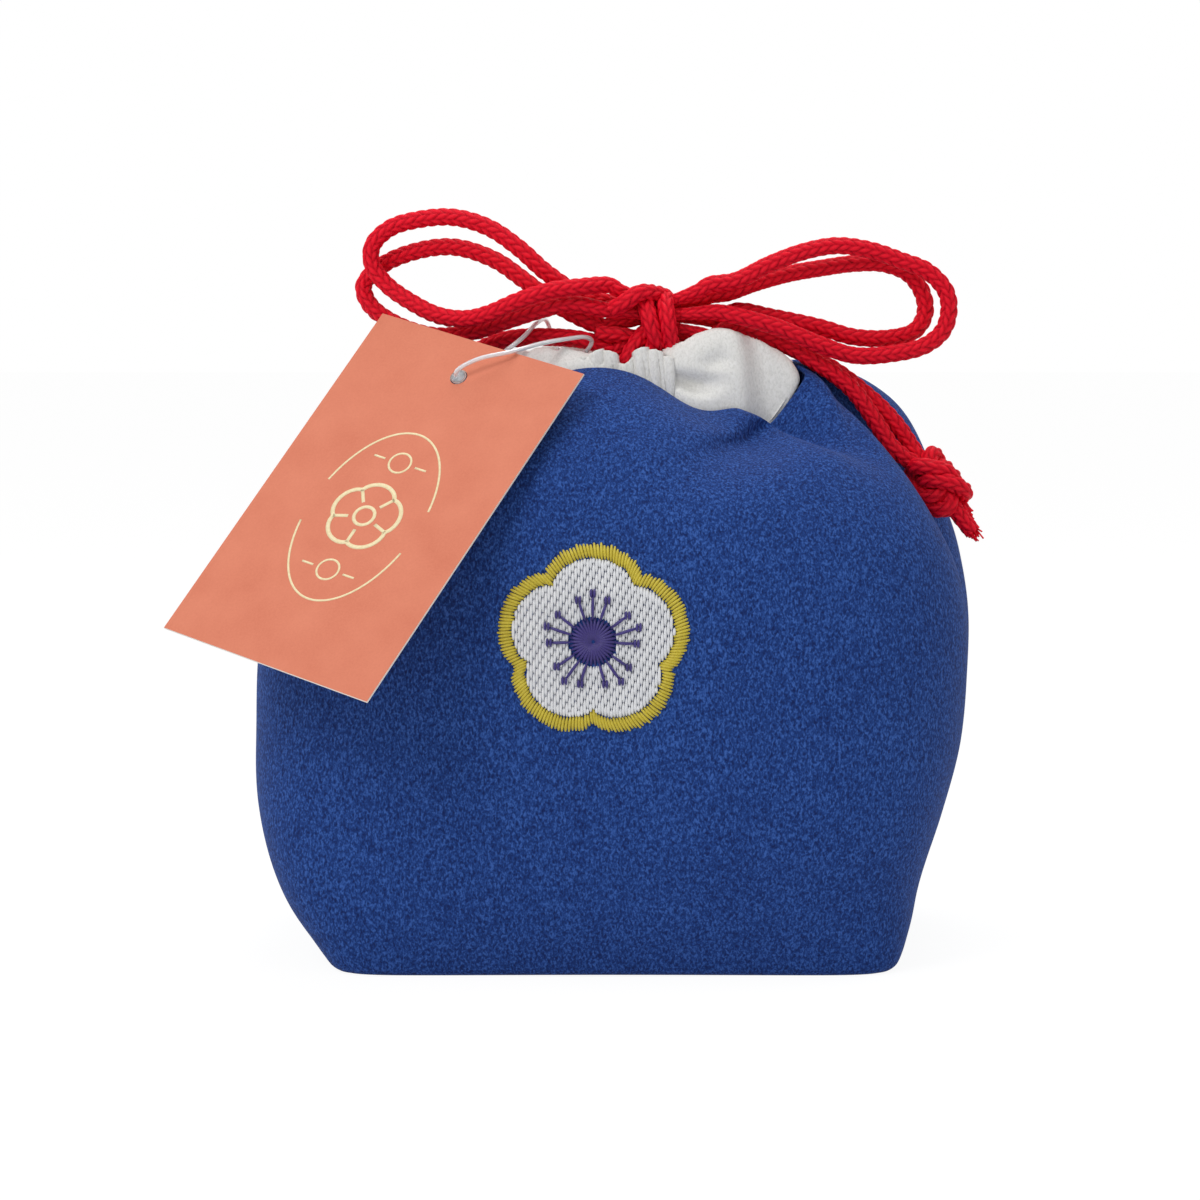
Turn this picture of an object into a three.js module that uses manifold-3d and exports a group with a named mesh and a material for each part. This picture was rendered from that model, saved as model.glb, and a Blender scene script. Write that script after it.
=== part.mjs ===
// A lucky-charm pouch: a drawstring bag with a boxed base, drawn shut and tied in a bow, with a card tag.
// Lengths are millimetres. +X runs to the right along the front, the front faces -Y and +Z is up.
// The origin is the middle of the base, on the surface that the pouch stands on.
import * as THREE from "three";
import { mergeVertices } from "three/addons/utils/BufferGeometryUtils.js";
import Module from "manifold-3d";

const wasm = await Module();
wasm.setup();
const { lerp, smoothstep } = THREE.MathUtils;

// Driving dimensions of the stuffed bag: its base, its belly and its gathered mouth.
const baseWidth = 125;
const baseDepth = 88;
const bellyWidth = 163;
const bellyDepth = 108;
const bellyHeight = 72;
const mouthWidth = 80;
const mouthDepth = 39;
const rimHeight = 133;
const mouthLean = 4.6; // the mouth sits a little to the right of the base
const bodyTwist = -6; // degrees that the body has turned on its base
const twistHeight = 46; // the height at which it has turned that far

// Cloth thicknesses, and the clearance that neighbouring pieces keep.
const shellThickness = 1;
const liningThickness = 0.6;
const bandThickness = 0.9;
const threadThickness = 0.8;
const clearance = 0.3;
const liningGap = 0.6; // between the outer cloth and the lining
const seamPlace = 1.5; // the base seam runs just behind the middle
const seamFade = 20; // the height at which the side seams have come to the middle
const seamPull = 8; // how far along the wall the cloth moves with its side seam

// A place beside the mouth: across, along and above the rim. The cords and the tag are placed in this way.
const aboveRim = (x, y, height) => new THREE.Vector3(x, y, rimHeight + height);

// Drawcords: a round braid, tied in a bow in front of the mouth.
const cordDiameter = 4;
const knotCentre = aboveRim(10.1, -9, 10.8);
const knotRadius = 6.2;
const knotThickness = 12.5;
const wrapRadius = 5.2;
const wrapSpacing = 4.6;
const knotReach = 10.5; // from the knot's centre to the ends of its stubs

// Knots at the tails' ends.
const endKnotLength = 15;
const endKnotDiameter = 12.5;

// Card tag, its punched hole and its clear plastic fastener.
const tagWidth = 55;
const tagLength = 91;
const tagThickness = 0.5;
const tagHoleDiameter = 4;
const tagHoleInset = 10; // from the top edge to the middle of the hole
const fastenerDiameter = 1;
const fastenerHeadLength = 5;
const fastenerHeadWidth = 3;

// Embroidered plum blossom on the front.
const blossomDiameter = 42;
const blossomHeight = 75;
const blossomPlace = -0.5; // across from the middle of the front

// Wall sections from the base edge up to the belly, and from the belly up to the rim:
// shares of the height, of the width and of the depth that is gained, and a squareness.
const lowerWallShares = [
  [0, 0, 0, 12],
  [0.08, 0.2, 0.2, 8],
  [0.2, 0.44, 0.45, 5.6],
  [0.45, 0.76, 0.78, 4.2],
  [0.7, 0.94, 0.95, 3.4],
  [1, 1, 1, 3],
];
const upperWallShares = [
  [0.26, 0.06, 0.04, 2.9],
  [0.46, 0.16, 0.14, 2.8],
  [0.66, 0.3, 0.3, 2.6],
  [0.8, 0.44, 0.48, 2.5],
  [0.9, 0.6, 0.66, 2.4],
  [0.965, 0.78, 0.85, 2.3],
  [1, 1, 1, 2.2],
];

const wallStations = [
  ...lowerWallShares.map(([height, width, depth, squareness]) => [
    height * bellyHeight,
    lerp(baseWidth, bellyWidth, width) / 2,
    lerp(baseDepth, bellyDepth, depth) / 2,
    squareness,
  ]),
  ...upperWallShares.map(([height, width, depth, squareness]) => [
    lerp(bellyHeight, rimHeight, height),
    lerp(bellyWidth, mouthWidth, width) / 2,
    lerp(bellyDepth, mouthDepth, depth) / 2,
    squareness,
  ]),
];

// The body's lean at equal steps of height from the base to the rim, as shares of the mouth's.
const leanShares = [[0], [-0.6], [-0.4], [0], [0.2], [0.45], [0.7], [0.9], [1]];

const FRONT = -1;
const BACK = 1;

// Folds in the wall push it out or pull it in. Each has its turn round the wall and its spread, in degrees
// from the right seam with the front negative, a share of the fold depth, and shares of the way up the wall
// at which it starts and is full. A slanting fold has the turn at the rim, and the degrees by which it would
// drift down the whole wall.
const foldDepth = 8;
const foldShares = [
  { turn: 0, spread: 6, reachShare: -0.25, startShare: 0.1, fullShare: 0.3 },
  { turn: 0, spread: 12, reachShare: -1.35, startShare: 0.25, fullShare: 0.65 },
  { turn: 180, spread: 6, reachShare: -0.25, startShare: 0.1, fullShare: 0.3 },
  { turn: 180, spread: 12, reachShare: -1.35, startShare: 0.25, fullShare: 0.65 },
  { turn: 0, spread: 12, reachShare: 0.75, startShare: 0.86, fullShare: 1 },
  { turn: 180, spread: 12, reachShare: 0.45, startShare: 0.86, fullShare: 1 },
  { turn: -12, spread: 10, reachShare: -0.8, startShare: 0.47, fullShare: 0.7 },
  { turn: -12, spread: 10, reachShare: 0.65, startShare: 0.8, fullShare: 1 },
  { turn: -27, spread: 11, reachShare: -1.5, startShare: 0.6, fullShare: 0.8, drift: -120 },
  { turn: -27, spread: 11, reachShare: 1.1, startShare: 0.82, fullShare: 0.98, drift: -120 },
  { turn: -15, spread: 10, reachShare: 0.6, startShare: 0.66, fullShare: 0.9, drift: -95 },
  { turn: 31, spread: 13, reachShare: 0.85, startShare: 0.55, fullShare: 0.8 },
  { turn: -75, spread: 9, reachShare: -0.2, startShare: 0.8, fullShare: 1 },
  { turn: -125, spread: 20, reachShare: 0.63, startShare: 0.45, fullShare: 0.65 },
  { turn: -158, spread: 15, reachShare: -0.85, startShare: 0.47, fullShare: 0.7 },
  { turn: 125, spread: 12, reachShare: -0.5, startShare: 0.6, fullShare: 0.95 },
  { turn: 85, spread: 9, reachShare: -0.35, startShare: 0.7, fullShare: 1 },
  { turn: 55, spread: 11, reachShare: -0.45, startShare: 0.65, fullShare: 0.95 },
];

// Dips in the rim, in the same degrees and as shares of the dip depth.
const dipDepth = 12;
const dipStartShare = 0.55;
const dipFullShare = 0.9;
const dipShares = [
  { turn: -55, spread: 25, depthShare: 0.85 },
  { turn: -28, spread: 11, depthShare: 0.9 },
  { turn: -146, spread: 24, depthShare: 0.75 },
  { turn: 88, spread: 36, depthShare: 0.3 },
];

// One row of a table of numbers, read between its rows on a smooth curve.
function readTable(table, share) {
  const place = share * (table.length - 1);
  const index = Math.min(Math.floor(place), table.length - 2);
  const t = place - index;
  const row = (k) => table[Math.min(Math.max(k, 0), table.length - 1)];
  return table[0].map((_, column) => {
    const [a, b, c, d] = [index - 1, index, index + 1, index + 2].map((k) => row(k)[column]);
    return b + (t * (c - a + t * (2 * a - 5 * b + 4 * c - d + t * (3 * (b - c) + d - a)))) / 2;
  });
}

// Half of the bag's outline at a share of the way up the wall, as a function of the share of its length,
// from the left seam to the right one.
const outlines = new Map();
function outline(up) {
  if (outlines.has(up)) return outlines.get(up);
  const [height, halfWidth, halfDepth, squareness] = readTable(wallStations, up);
  const fineSteps = 160;
  const fine = [];
  for (let k = 0; k <= fineSteps; k++) {
    const angle = Math.PI * (1 - k / fineSteps);
    const [c, s] = [Math.cos(angle), Math.sin(angle)];
    const across = Math.abs(c / halfWidth) ** squareness;
    const along = Math.abs(s / halfDepth) ** squareness;
    const radius = (across + along) ** (-1 / squareness);
    fine.push(new THREE.Vector2(radius * c, Math.max(radius * s, 0)));
  }
  const lengths = [0];
  for (let k = 1; k <= fineSteps; k++) lengths.push(lengths[k - 1] + fine[k].distanceTo(fine[k - 1]));
  const at = (share) => {
    const target = share * lengths[fineSteps];
    let k = 1;
    while (k < fineSteps && lengths[k] < target) k++;
    const t = (target - lengths[k - 1]) / (lengths[k] - lengths[k - 1]);
    return fine[k - 1].clone().lerp(fine[k], t);
  };
  const outward = ({ x, y }) => {
    const slope = (value, half) => Math.sign(value) * Math.abs(value / half) ** (squareness - 1) / half;
    return new THREE.Vector2(slope(x, halfWidth), slope(y, halfDepth)).normalize();
  };
  const found = { at, outward, height, halfWidth, halfDepth };
  outlines.set(up, found);
  return found;
}

const bell = (distance, width) => Math.exp(-((distance / width) ** 2));
const degreesApart = (a, b) => THREE.MathUtils.euclideanModulo(a - b + 180, 360) - 180;

// The seam keeps the two panels apart.
const seamAt = (z) => seamPlace * (1 - smoothstep(z, 0, seamFade));
function keepToSide(point, side) {
  const edge = seamAt(point.z) + (side * clearance) / 2;
  point.y = side === FRONT ? Math.min(point.y, edge) : Math.max(point.y, edge);
  return point;
}

// The body as it stands: turned on its base and leaning, more so with height.
const UP = new THREE.Vector3(0, 0, 1);
const twistAt = (z) => THREE.MathUtils.degToRad(bodyTwist) * smoothstep(z, 0, twistHeight);
const leanAt = (z) => mouthLean * readTable(leanShares, THREE.MathUtils.clamp(z / rimHeight, 0, 1))[0];
function settle(point) {
  point.applyAxisAngle(UP, twistAt(point.z));
  point.x += leanAt(point.z);
  return point;
}

// The place on the left of the body that matches one on its right.
function mirrored(point) {
  const upright = point.clone().setX(point.x - leanAt(point.z)).applyAxisAngle(UP, -twistAt(point.z));
  return settle(upright.setX(-upright.x));
}

// A point on the outer face of the wall: side, share across from the left seam, share of the way up.
function wallPoint(side, across, up) {
  const { at, outward, height } = outline(up);
  const flat = at(across);
  const turn = side * 180 * (1 - across);
  const out = outward(flat);
  let reach = 0;
  for (const { turn: rimTurn, spread, reachShare, startShare, fullShare, drift = 0 } of foldShares) {
    const middle = rimTurn + drift * (1 - up);
    const rise = smoothstep(up, startShare, fullShare);
    reach += foldDepth * reachShare * bell(degreesApart(turn, middle), spread) * rise;
  }
  let drop = 0;
  for (const dip of dipShares)
    drop += dipDepth * dip.depthShare * bell(degreesApart(turn, dip.turn), dip.spread);
  const sunk = drop * smoothstep(up, dipStartShare, dipFullShare);
  const point = new THREE.Vector3(flat.x, side * flat.y, height - sunk);
  point.x += out.x * reach;
  point.y += side * out.y * reach;
  point.y += seamAt(point.z) * (1 - smoothstep(Math.abs(point.y), 0, seamPull));
  return point;
}

const baseSeamShare = 0.97;

// A point on the panel: below zero, up runs across the base from the seam at -1 to the base edge at 0.
function panelPoint(side, across, up) {
  if (up >= 0) return keepToSide(wallPoint(side, across, up), side);
  const edge = wallPoint(side, across, 0);
  const seamHalf = outline(0).halfWidth * baseSeamShare;
  const seam = new THREE.Vector3((2 * across - 1) * seamHalf, seamPlace, 0);
  return keepToSide(seam.lerp(edge, 1 + up), side);
}

// A closed sheet between two grids of points that have the same rows and columns.
function closedSheet(outer, inner) {
  const rows = outer.length;
  const columns = outer[0].length;
  const positions = [...outer.flat(), ...inner.flat()].flatMap((p) => p.toArray());
  const at = (face, row, column) => face * rows * columns + row * columns + column;
  const index = [];
  const quad = (a, b, c, d) => index.push(a, b, c, a, c, d);
  for (let j = 0; j < rows - 1; j++)
    for (let i = 0; i < columns - 1; i++) {
      quad(at(0, j, i), at(0, j, i + 1), at(0, j + 1, i + 1), at(0, j + 1, i));
      quad(at(1, j, i), at(1, j + 1, i), at(1, j + 1, i + 1), at(1, j, i + 1));
    }
  const border = [];
  for (let i = 0; i < columns - 1; i++) border.push([0, i]);
  for (let j = 0; j < rows - 1; j++) border.push([j, columns - 1]);
  for (let i = columns - 1; i > 0; i--) border.push([rows - 1, i]);
  for (let j = rows - 1; j > 0; j--) border.push([j, 0]);
  border.forEach(([j, i], k) => {
    const [nextJ, nextI] = border[(k + 1) % border.length];
    quad(at(0, nextJ, nextI), at(0, j, i), at(1, j, i), at(1, nextJ, nextI));
  });
  return facingOut(positions, index);
}

// A geometry whose faces point out of the volume that they close.
function facingOut(positions, index) {
  const corner = (k) => new THREE.Vector3().fromArray(positions, 3 * index[k]);
  let volume = 0;
  for (let k = 0; k < index.length; k += 3) volume += corner(k).dot(corner(k + 1).cross(corner(k + 2)));
  if (volume < 0) index.reverse();
  const geometry = new THREE.BufferGeometry();
  geometry.setAttribute("position", new THREE.Float32BufferAttribute(positions, 3));
  geometry.setIndex(index);
  return geometry;
}

// Normals of a grid, all on the side that the given sign picks.
function gridNormals(grid, sign) {
  const rows = grid.length - 1;
  const columns = grid[0].length - 1;
  return grid.map((line, j) =>
    line.map((_, i) => {
      const along = grid[j][Math.min(i + 1, columns)].clone().sub(grid[j][Math.max(i - 1, 0)]);
      const up = grid[Math.min(j + 1, rows)][i].clone().sub(grid[Math.max(j - 1, 0)][i]);
      return along.cross(up).normalize().multiplyScalar(sign);
    }),
  );
}

// The grid moved along its normals.
function offsetGrid(grid, normals, distance) {
  return grid.map((line, j) => line.map((p, i) => p.clone().addScaledVector(normals[j][i], distance)));
}

// A cloth panel: half of the base and one wall, at any depth under the bag's outer face.
const columnCount = 30;
const seamCrowding = 0.6; // how far the columns crowd towards the seams, from even to a cosine
const panelColumns = Array.from({ length: columnCount + 1 }, (_, i) => {
  const share = i / columnCount;
  return lerp(share, (1 - Math.cos(Math.PI * share)) / 2, seamCrowding);
});
const baseRows = 2;
const wallRows = 14;
function panelFaces(side, topRow) {
  const ups = [];
  for (let j = 0; j < baseRows; j++) ups.push(j / baseRows - 1);
  for (let j = 0; j <= wallRows; j++) ups.push(j / wallRows);
  const grid = ups.map((up) => panelColumns.map((across) => panelPoint(side, across, up)));
  const normals = gridNormals(grid, -side);
  ups.forEach((up, j) => {
    if (up < 0) normals[j].forEach((n) => n.set(0, 0, -1));
    // On the base edge the sheet keeps its thickness on both the wall and the base.
    if (up === 0) normals[j].forEach((n) => n.setZ(0).normalize().setZ(-1));
  });
  const face = (depth) => offsetGrid(grid, normals, -depth).slice(0, baseRows + topRow + 1);
  return (depth) => face(depth).map((line) => line.map((p) => keepToSide(p, side)));
}
const settled = (grid) => grid.map((line) => line.map((p) => settle(p.clone())));
function panel(side, depth, thickness, topRow) {
  const face = panelFaces(side, topRow);
  return closedSheet(settled(face(depth)), settled(face(depth + thickness)));
}

// White casing band: it comes up inside the rim, puffs over it and turns down into the throat.
const bandFoot = 2; // how far its lower edge reaches below the rim
const rimShare = 0.965; // how far out it stands at the rim, and at its lower edge
const footShare = 0.98;
const bandGap = 0.48; // between the rim's inner face and the band
const bandDepth = shellThickness + bandGap;
const throatLip = rimHeight - 7;
const throatBottom = rimHeight - 20;
const slopeDrop = 7;
const crestHeight = rimHeight + 1;
const throatShare = 0.26;
const slopeShare = 0.68;
const slopeSmoothShare = 0.5; // how far the rim's folds have faded there, and on the crest
const crestSmoothShare = 0.25;
const crestShare = 0.8;
// Puffs of the crest: degrees from the right end, counted like the folds, a spread, and a share of the puff.
const puffHeight = 7;
const puffShares = [
  { turn: -44, spread: 28, heightShare: 1 },
  { turn: -124, spread: 30, heightShare: 0.2 },
  { turn: 190, spread: 30, heightShare: 0.1 },
  { turn: 120, spread: 30, heightShare: 0.45 },
  { turn: 60, spread: 26, heightShare: 0.5 },
];
const bulgeShare = 0.4; // how far in from the rim the band swells, and how high
const bulgeRiseShare = 0.72;
const gatherCount = 9;
const gatherDepthShare = 0.03;
const exitPlace = 0.6; // middle of the gap that the drawcord's ends come out of, at the front and at the back
const exitWidth = 12;
const [leftExitColumn, rightExitColumn] = [14, 17]; // the panel columns that the gap lies between

// One half of the band, from the exit at the front round one end of the mouth to the exit at the back.
const bandPoints = 10;
const range = (first, last) => Array.from({ length: last - first + 1 }, (_, k) => first + k);
function bandHalf(end) {
  const exit = new THREE.Vector3(exitPlace + (end * exitWidth) / 2, 0, 0);
  const columns = end > 0 ? range(rightExitColumn, columnCount) : range(0, leftExitColumn).reverse();
  const lastColumn = columns.pop(); // at the side seam, where the front and the back meet
  const [frontEdge, backEdge] = [FRONT, BACK].map((side) => panelFaces(side, wallRows)(bandDepth).at(-1));
  const stations = [
    ...columns.map((column) => [FRONT, column, frontEdge[column]]),
    [FRONT, lastColumn, frontEdge[lastColumn].lerp(backEdge[lastColumn], 0.5)],
    ...columns.toReversed().map((column) => [BACK, column, backEdge[column]]),
  ];
  const grid = stations.map(([side, column, face]) => {
    const edge = exit.clone().lerp(face, rimShare).setZ(face.z);
    const turn = side * 180 * (1 - panelColumns[column]);
    const unfolded = outline(1).at(panelColumns[column]);
    let puffed = 0;
    for (const puff of puffShares) puffed += puff.heightShare * bell(degreesApart(turn, puff.turn), puff.spread);
    const crest = crestHeight + puffHeight * puffed;
    const ripple = 1 + gatherDepthShare * Math.sin(gatherCount * THREE.MathUtils.degToRad(turn));
    const smooth = new THREE.Vector3(unfolded.x, side * unfolded.y, 0);
    const inside = (share, height, smoothness) => {
      const around = edge.clone().lerp(smooth, smoothness);
      return around.lerp(exit, 1 - share * ripple).setZ(height);
    };
    const top = inside(crestShare, crest, crestSmoothShare);
    const bulge = edge.clone().lerp(top, bulgeShare).setZ(lerp(edge.z, crest, bulgeRiseShare));
    const foot = exit.clone().lerp(edge, footShare).setZ(edge.z - bandFoot);
    const throat = [
      inside(slopeShare, crest - slopeDrop, slopeSmoothShare),
      inside(throatShare, throatLip, 1),
      inside(throatShare, throatBottom, 1),
    ];
    const path = new THREE.CatmullRomCurve3([foot, edge, bulge, top, ...throat], false, "centripetal");
    return path.getSpacedPoints(bandPoints);
  });
  const normals = gridNormals(grid, -end);
  return closedSheet(settled(grid), settled(offsetGrid(grid, normals, -bandThickness)));
}

// A round cord along a smooth curve through its points.
function roundSection(radius, sides) {
  const turn = (2 * Math.PI) / sides;
  const corner = (k) => new THREE.Vector2(radius * Math.cos(k * turn), radius * Math.sin(k * turn));
  return new THREE.Shape(Array.from({ length: sides }, (_, k) => corner(k)));
}
function tube(points, diameter, sides, step) {
  const curve = new THREE.CatmullRomCurve3(points, false, "centripetal");
  const steps = Math.max(2, Math.ceil(curve.getLength() / step));
  return new THREE.ExtrudeGeometry(roundSection(diameter / 2, sides), {
    steps,
    bevelEnabled: false,
    extrudePath: curve,
  });
}
const cordSides = 8;
const cordStep = 2 * cordDiameter;
const cord = (points) => tube(points, cordDiameter, cordSides, cordStep);
const route = (list) => list.map((p) => aboveRim(...p));

// Joined solids, by way of a mesh whose shared vertices are merged.
const mergeDistance = 1e-3;
function solid(geometry) {
  const loose = geometry.index ? geometry.toNonIndexed() : geometry;
  const plain = new THREE.BufferGeometry();
  plain.setAttribute("position", loose.getAttribute("position"));
  const merged = mergeVertices(plain, mergeDistance);
  return new wasm.Manifold(
    new wasm.Mesh({
      numProp: 3,
      vertProperties: merged.attributes.position.array,
      triVerts: new Uint32Array(merged.index.array),
    }),
  );
}
function joined(geometries) {
  const mesh = geometries.map(solid).reduce((a, b) => a.add(b)).getMesh();
  const geometry = new THREE.BufferGeometry();
  geometry.setAttribute("position", new THREE.BufferAttribute(mesh.vertProperties, 3));
  geometry.setIndex(new THREE.BufferAttribute(mesh.triVerts, 1));
  return geometry;
}

// Where each strand meets the knot: the side it leaves by, its height above the knot's centre and its depth.
const LEFT = -1;
const RIGHT = 1;
const ports = {
  leftOuterStart: [LEFT, 5.4, -12.6],
  leftInnerStart: [LEFT, 1, -12.2],
  leftOuterEnd: [LEFT, 2.5, -7.4],
  leftInnerEnd: [LEFT, -2.2, -7.4],
  leftTailFront: [LEFT, -6.6, -9],
  leftTailBack: [LEFT, -6.8, -4.4],
  rightOuterStart: [RIGHT, 5.5, -12],
  rightInnerStart: [RIGHT, 3.5, -6.4],
  rightInnerEnd: [RIGHT, -1, -6],
  rightOuterEnd: [RIGHT, 0.5, -12],
  rightTailFront: [RIGHT, -4.4, -10.2],
  rightTailBack: [RIGHT, -6.5, -5.2],
};
function portPoint([end, above, y], distance) {
  const across = end * Math.sqrt(knotReach ** 2 - above ** 2);
  const outward = new THREE.Vector3(across, 0, above).multiplyScalar(distance / knotReach);
  return outward.add(knotCentre).setY(y);
}

// A strand's first two points, straight out of the knot.
function leadFrom(name) {
  const start = knotReach + clearance;
  return [portPoint(ports[name], start), portPoint(ports[name], start + cordDiameter / 2)];
}

// The first two points of a strand that carries on from the end of another.
function leadOn(points) {
  const [before, last] = points.slice(-2);
  const direction = last.clone().sub(before).normalize();
  const onward = (distance) => last.clone().addScaledVector(direction, distance);
  return [onward(clearance), onward(clearance + cordDiameter / 2)];
}

// The bow's four strands, as points from the knot out and back to it.
const leftOuterRoute = route([
  [-8, -15, 17.1],
  [-14.7, -15.3, 16.2],
  [-21.5, -15.3, 14],
  [-28.2, -13.6, 11.1],
  [-33.4, -11, 9.9],
  [-39.6, -8, 10.6],
  [-45.8, -5, 13.5],
  [-51.3, -3, 17.3],
  [-54.6, -2.5, 21.6],
  [-54.6, -2.5, 26.1],
  [-50.7, -3, 30],
  [-44.1, -4, 32],
  [-36.1, -5, 32.5],
  [-28.2, -6, 30.2],
  [-21.5, -7, 25.7],
  [-15.4, -7.4, 20.3],
  [-8.6, -7.4, 15.8],
]);
const leftInnerRoute = route([
  [-9.7, -12.3, 13.3],
  [-16, -11.6, 12],
  [-23.8, -9.8, 9.5],
  [-31.6, -7, 6.9],
  [-40.8, -3.6, 5.9],
  [-50, -0.6, 8.7],
  [-55.6, 1.4, 12.9],
  [-56.9, 2.2, 17.1],
  [-52.9, 2.2, 21.5],
  [-45.5, 1.2, 24.7],
  [-36.4, 0.2, 25.8],
  [-27.2, -1, 23],
  [-20.5, -3, 18.5],
  [-14.4, -5.4, 13.9],
  [-8, -6.8, 10.2],
]);
const rightOuterRoute = route([
  [27, -11.4, 18.4],
  [34.8, -10.4, 22.1],
  [42.5, -9.4, 24.9],
  [49.9, -8.4, 26.2],
  [57.5, -7.4, 25.2],
  [64.4, -6.4, 22.9],
  [70.6, -6, 20.4],
  [74.7, -6, 15.9],
  [75.4, -6.2, 11.5],
  [74, -6.4, 7],
  [69.8, -7, 3.7],
  [61.9, -8, 1.9],
  [53.7, -9.4, 1.7],
  [46, -10.6, 4.2],
  [36.9, -11.8, 7.9],
  [29, -12.4, 10.2],
]);
const rightInnerRoute = route([
  [25.6, -6, 15.6],
  [31.6, -5, 17.7],
  [39.2, -4, 19.8],
  [46.7, -3, 21.1],
  [54.2, -2, 22.1],
  [61.1, -1, 22],
  [66.8, -0.4, 19.7],
  [70, -0.4, 15.2],
  [70.5, -0.4, 10.7],
  [68.2, -1.4, 7],
  [62.7, -2.6, 5.4],
  [54.3, -4, 5.6],
  [46.5, -4.2, 7.8],
  [35.2, -4.4, 10.2],
  [27.6, -5.1, 11.5],
]);

// Tails: each runs over the mouth's end as a root, then lies free in the tuck of the side.
const rightRootFrontRoute = route([
  [24.5, -8.6, 7.3],
  [28.3, -6.8, 8.2],
  [34.6, -6, 5.9],
  [40.6, -6.4, 3.1],
  [45.6, -6.8, -0.1],
]);
const rightRootBackRoute = route([
  [24, -3.4, 5.6],
  [29.5, -2, 5.8],
  [35.5, -1.2, 4.7],
  [41, -2.1, 2.7],
  [45.8, -2.6, 0.5],
]);
const leftRootFrontRoute = route([
  [-6.3, -8.6, 5],
  [-15.1, -6.6, 5.8],
  [-24.7, -2.6, 5],
  [-31.5, 0.4, 2.2],
  [-36.4, 2.3, -0.2],
]);
const leftRootBackRoute = route([
  [-5.8, -4, 4.6],
  [-14.6, -2, 5.4],
  [-23.3, 1.8, 4.8],
  [-30.8, 4.9, 2.4],
  [-36.1, 6.6, 0],
]);
const rightTailFrontRoute = route([
  [49.8, -7, -2.8],
  [53.8, -7.1, -6.2],
  [57.2, -7.1, -10.6],
  [60.2, -7, -15.2],
  [62.9, -6.9, -19.2],
]);
const rightTailBackRoute = route([
  [50.9, -2.8, -2.5],
  [55.8, -3.1, -6.3],
  [60.6, -3.4, -10.5],
  [64.4, -3.4, -14.7],
  [67.4, -3.1, -19.1],
]);

const roundSides = 12; // round a knot
const wrapSteps = 14;
const stubStartShare = 0.35; // how far out from the knot's centre a stub starts
function knotGeometry() {
  const half = knotThickness / 2;
  const rounding = knotRadius / 3;
  const profile = [
    [0, -half],
    [knotRadius - rounding, -half],
    [knotRadius, -half + rounding],
    [knotRadius, half - rounding],
    [knotRadius - rounding, half],
    [0, half],
  ].map((p) => new THREE.Vector2(...p));
  const core = new THREE.LatheGeometry(profile, roundSides);
  core.translate(knotCentre.x, knotCentre.y, knotCentre.z);
  const wraps = [-wrapSpacing / 2, wrapSpacing / 2].map((across) => {
    const ring = new THREE.TorusGeometry(wrapRadius, cordDiameter / 2, cordSides, wrapSteps);
    ring.rotateY(Math.PI / 2);
    ring.scale(1, (half + cordDiameter / 2) / (wrapRadius + cordDiameter / 2), 1);
    ring.translate(knotCentre.x + across, knotCentre.y, knotCentre.z);
    return ring;
  });
  const stubs = Object.values(ports).map((port) => {
    const inside = portPoint(port, knotReach).sub(knotCentre).multiplyScalar(stubStartShare).add(knotCentre);
    inside.y = port[2];
    return cord([inside, portPoint(port, knotReach)]);
  });
  return joined([core, ...wraps, ...stubs]);
}

// A bulging overhand knot of two strands, along a direction from a start point.
function endKnot(start, direction) {
  const profile = [
    [0, 0],
    [0.34, 0],
    [0.46, 0.1],
    [0.5, 0.26],
    [0.42, 0.4],
    [0.5, 0.55],
    [0.48, 0.76],
    [0.32, 0.93],
    [0.2, 1],
    [0, 1],
  ].map(([across, along]) => new THREE.Vector2(across * endKnotDiameter, along * endKnotLength));
  const geometry = new THREE.LatheGeometry(profile, roundSides);
  const turn = new THREE.Quaternion().setFromUnitVectors(new THREE.Vector3(0, 1, 0), direction);
  geometry.applyQuaternion(turn);
  return geometry.translate(start.x, start.y, start.z);
}

const endKnotStart = aboveRim(68.4, -5, -21.6);
const cordEndTip = aboveRim(83, -8.2, -39.6);

// Rings of drawcord inside the casing, and their two ends that rise to the knot.
const ringShare = 0.5;
const frontRingHeight = rimHeight - 11;
const backRingHeight = rimHeight - 16;
const ringOpening = 0.32; // half of the ring's gap, in radians
const ringPoints = 20;
function ringRoute(side, height, leftRise, rightRise) {
  const [halfWidth, halfDepth] = [(ringShare * mouthWidth) / 2, (ringShare * mouthDepth) / 2];
  const middle = side * (Math.PI / 2 - Math.asin(exitPlace / halfWidth));
  const points = [];
  for (let k = 0; k <= ringPoints; k++) {
    const angle = middle + lerp(ringOpening, 2 * Math.PI - ringOpening, k / ringPoints);
    points.push(settle(new THREE.Vector3(halfWidth * Math.cos(angle), halfDepth * Math.sin(angle), height)));
  }
  if (points[0].x < points[ringPoints].x) points.reverse();
  return [...rightRise.toReversed(), ...points, ...leftRise];
}
const frontRiseRoutes = [
  route([
    [1.2, -13, -7],
    [1.8, -13.7, -2],
    [4.2, -13.6, 3.4],
  ]),
  route([
    [6.1, -13, -7],
    [6.5, -13.7, -2],
    [8.6, -13.6, 3.4],
  ]),
];
const backRiseRoutes = [
  route([
    [2.2, 7.4, -16.2],
    [2.8, 4.2, -13.8],
    [2.8, 3.8, -8.5],
    [2.9, 2.2, -3],
    [4.8, -2, 0.4],
    [6.8, -3.4, 3],
  ]),
  route([
    [7.8, 7.2, -16.2],
    [7.4, 4.2, -13.8],
    [7.4, 3.8, -8.5],
    [7.6, 2.2, -3],
    [9.6, -2, 0.4],
    [11.4, -3.4, 3],
  ]),
];

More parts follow.
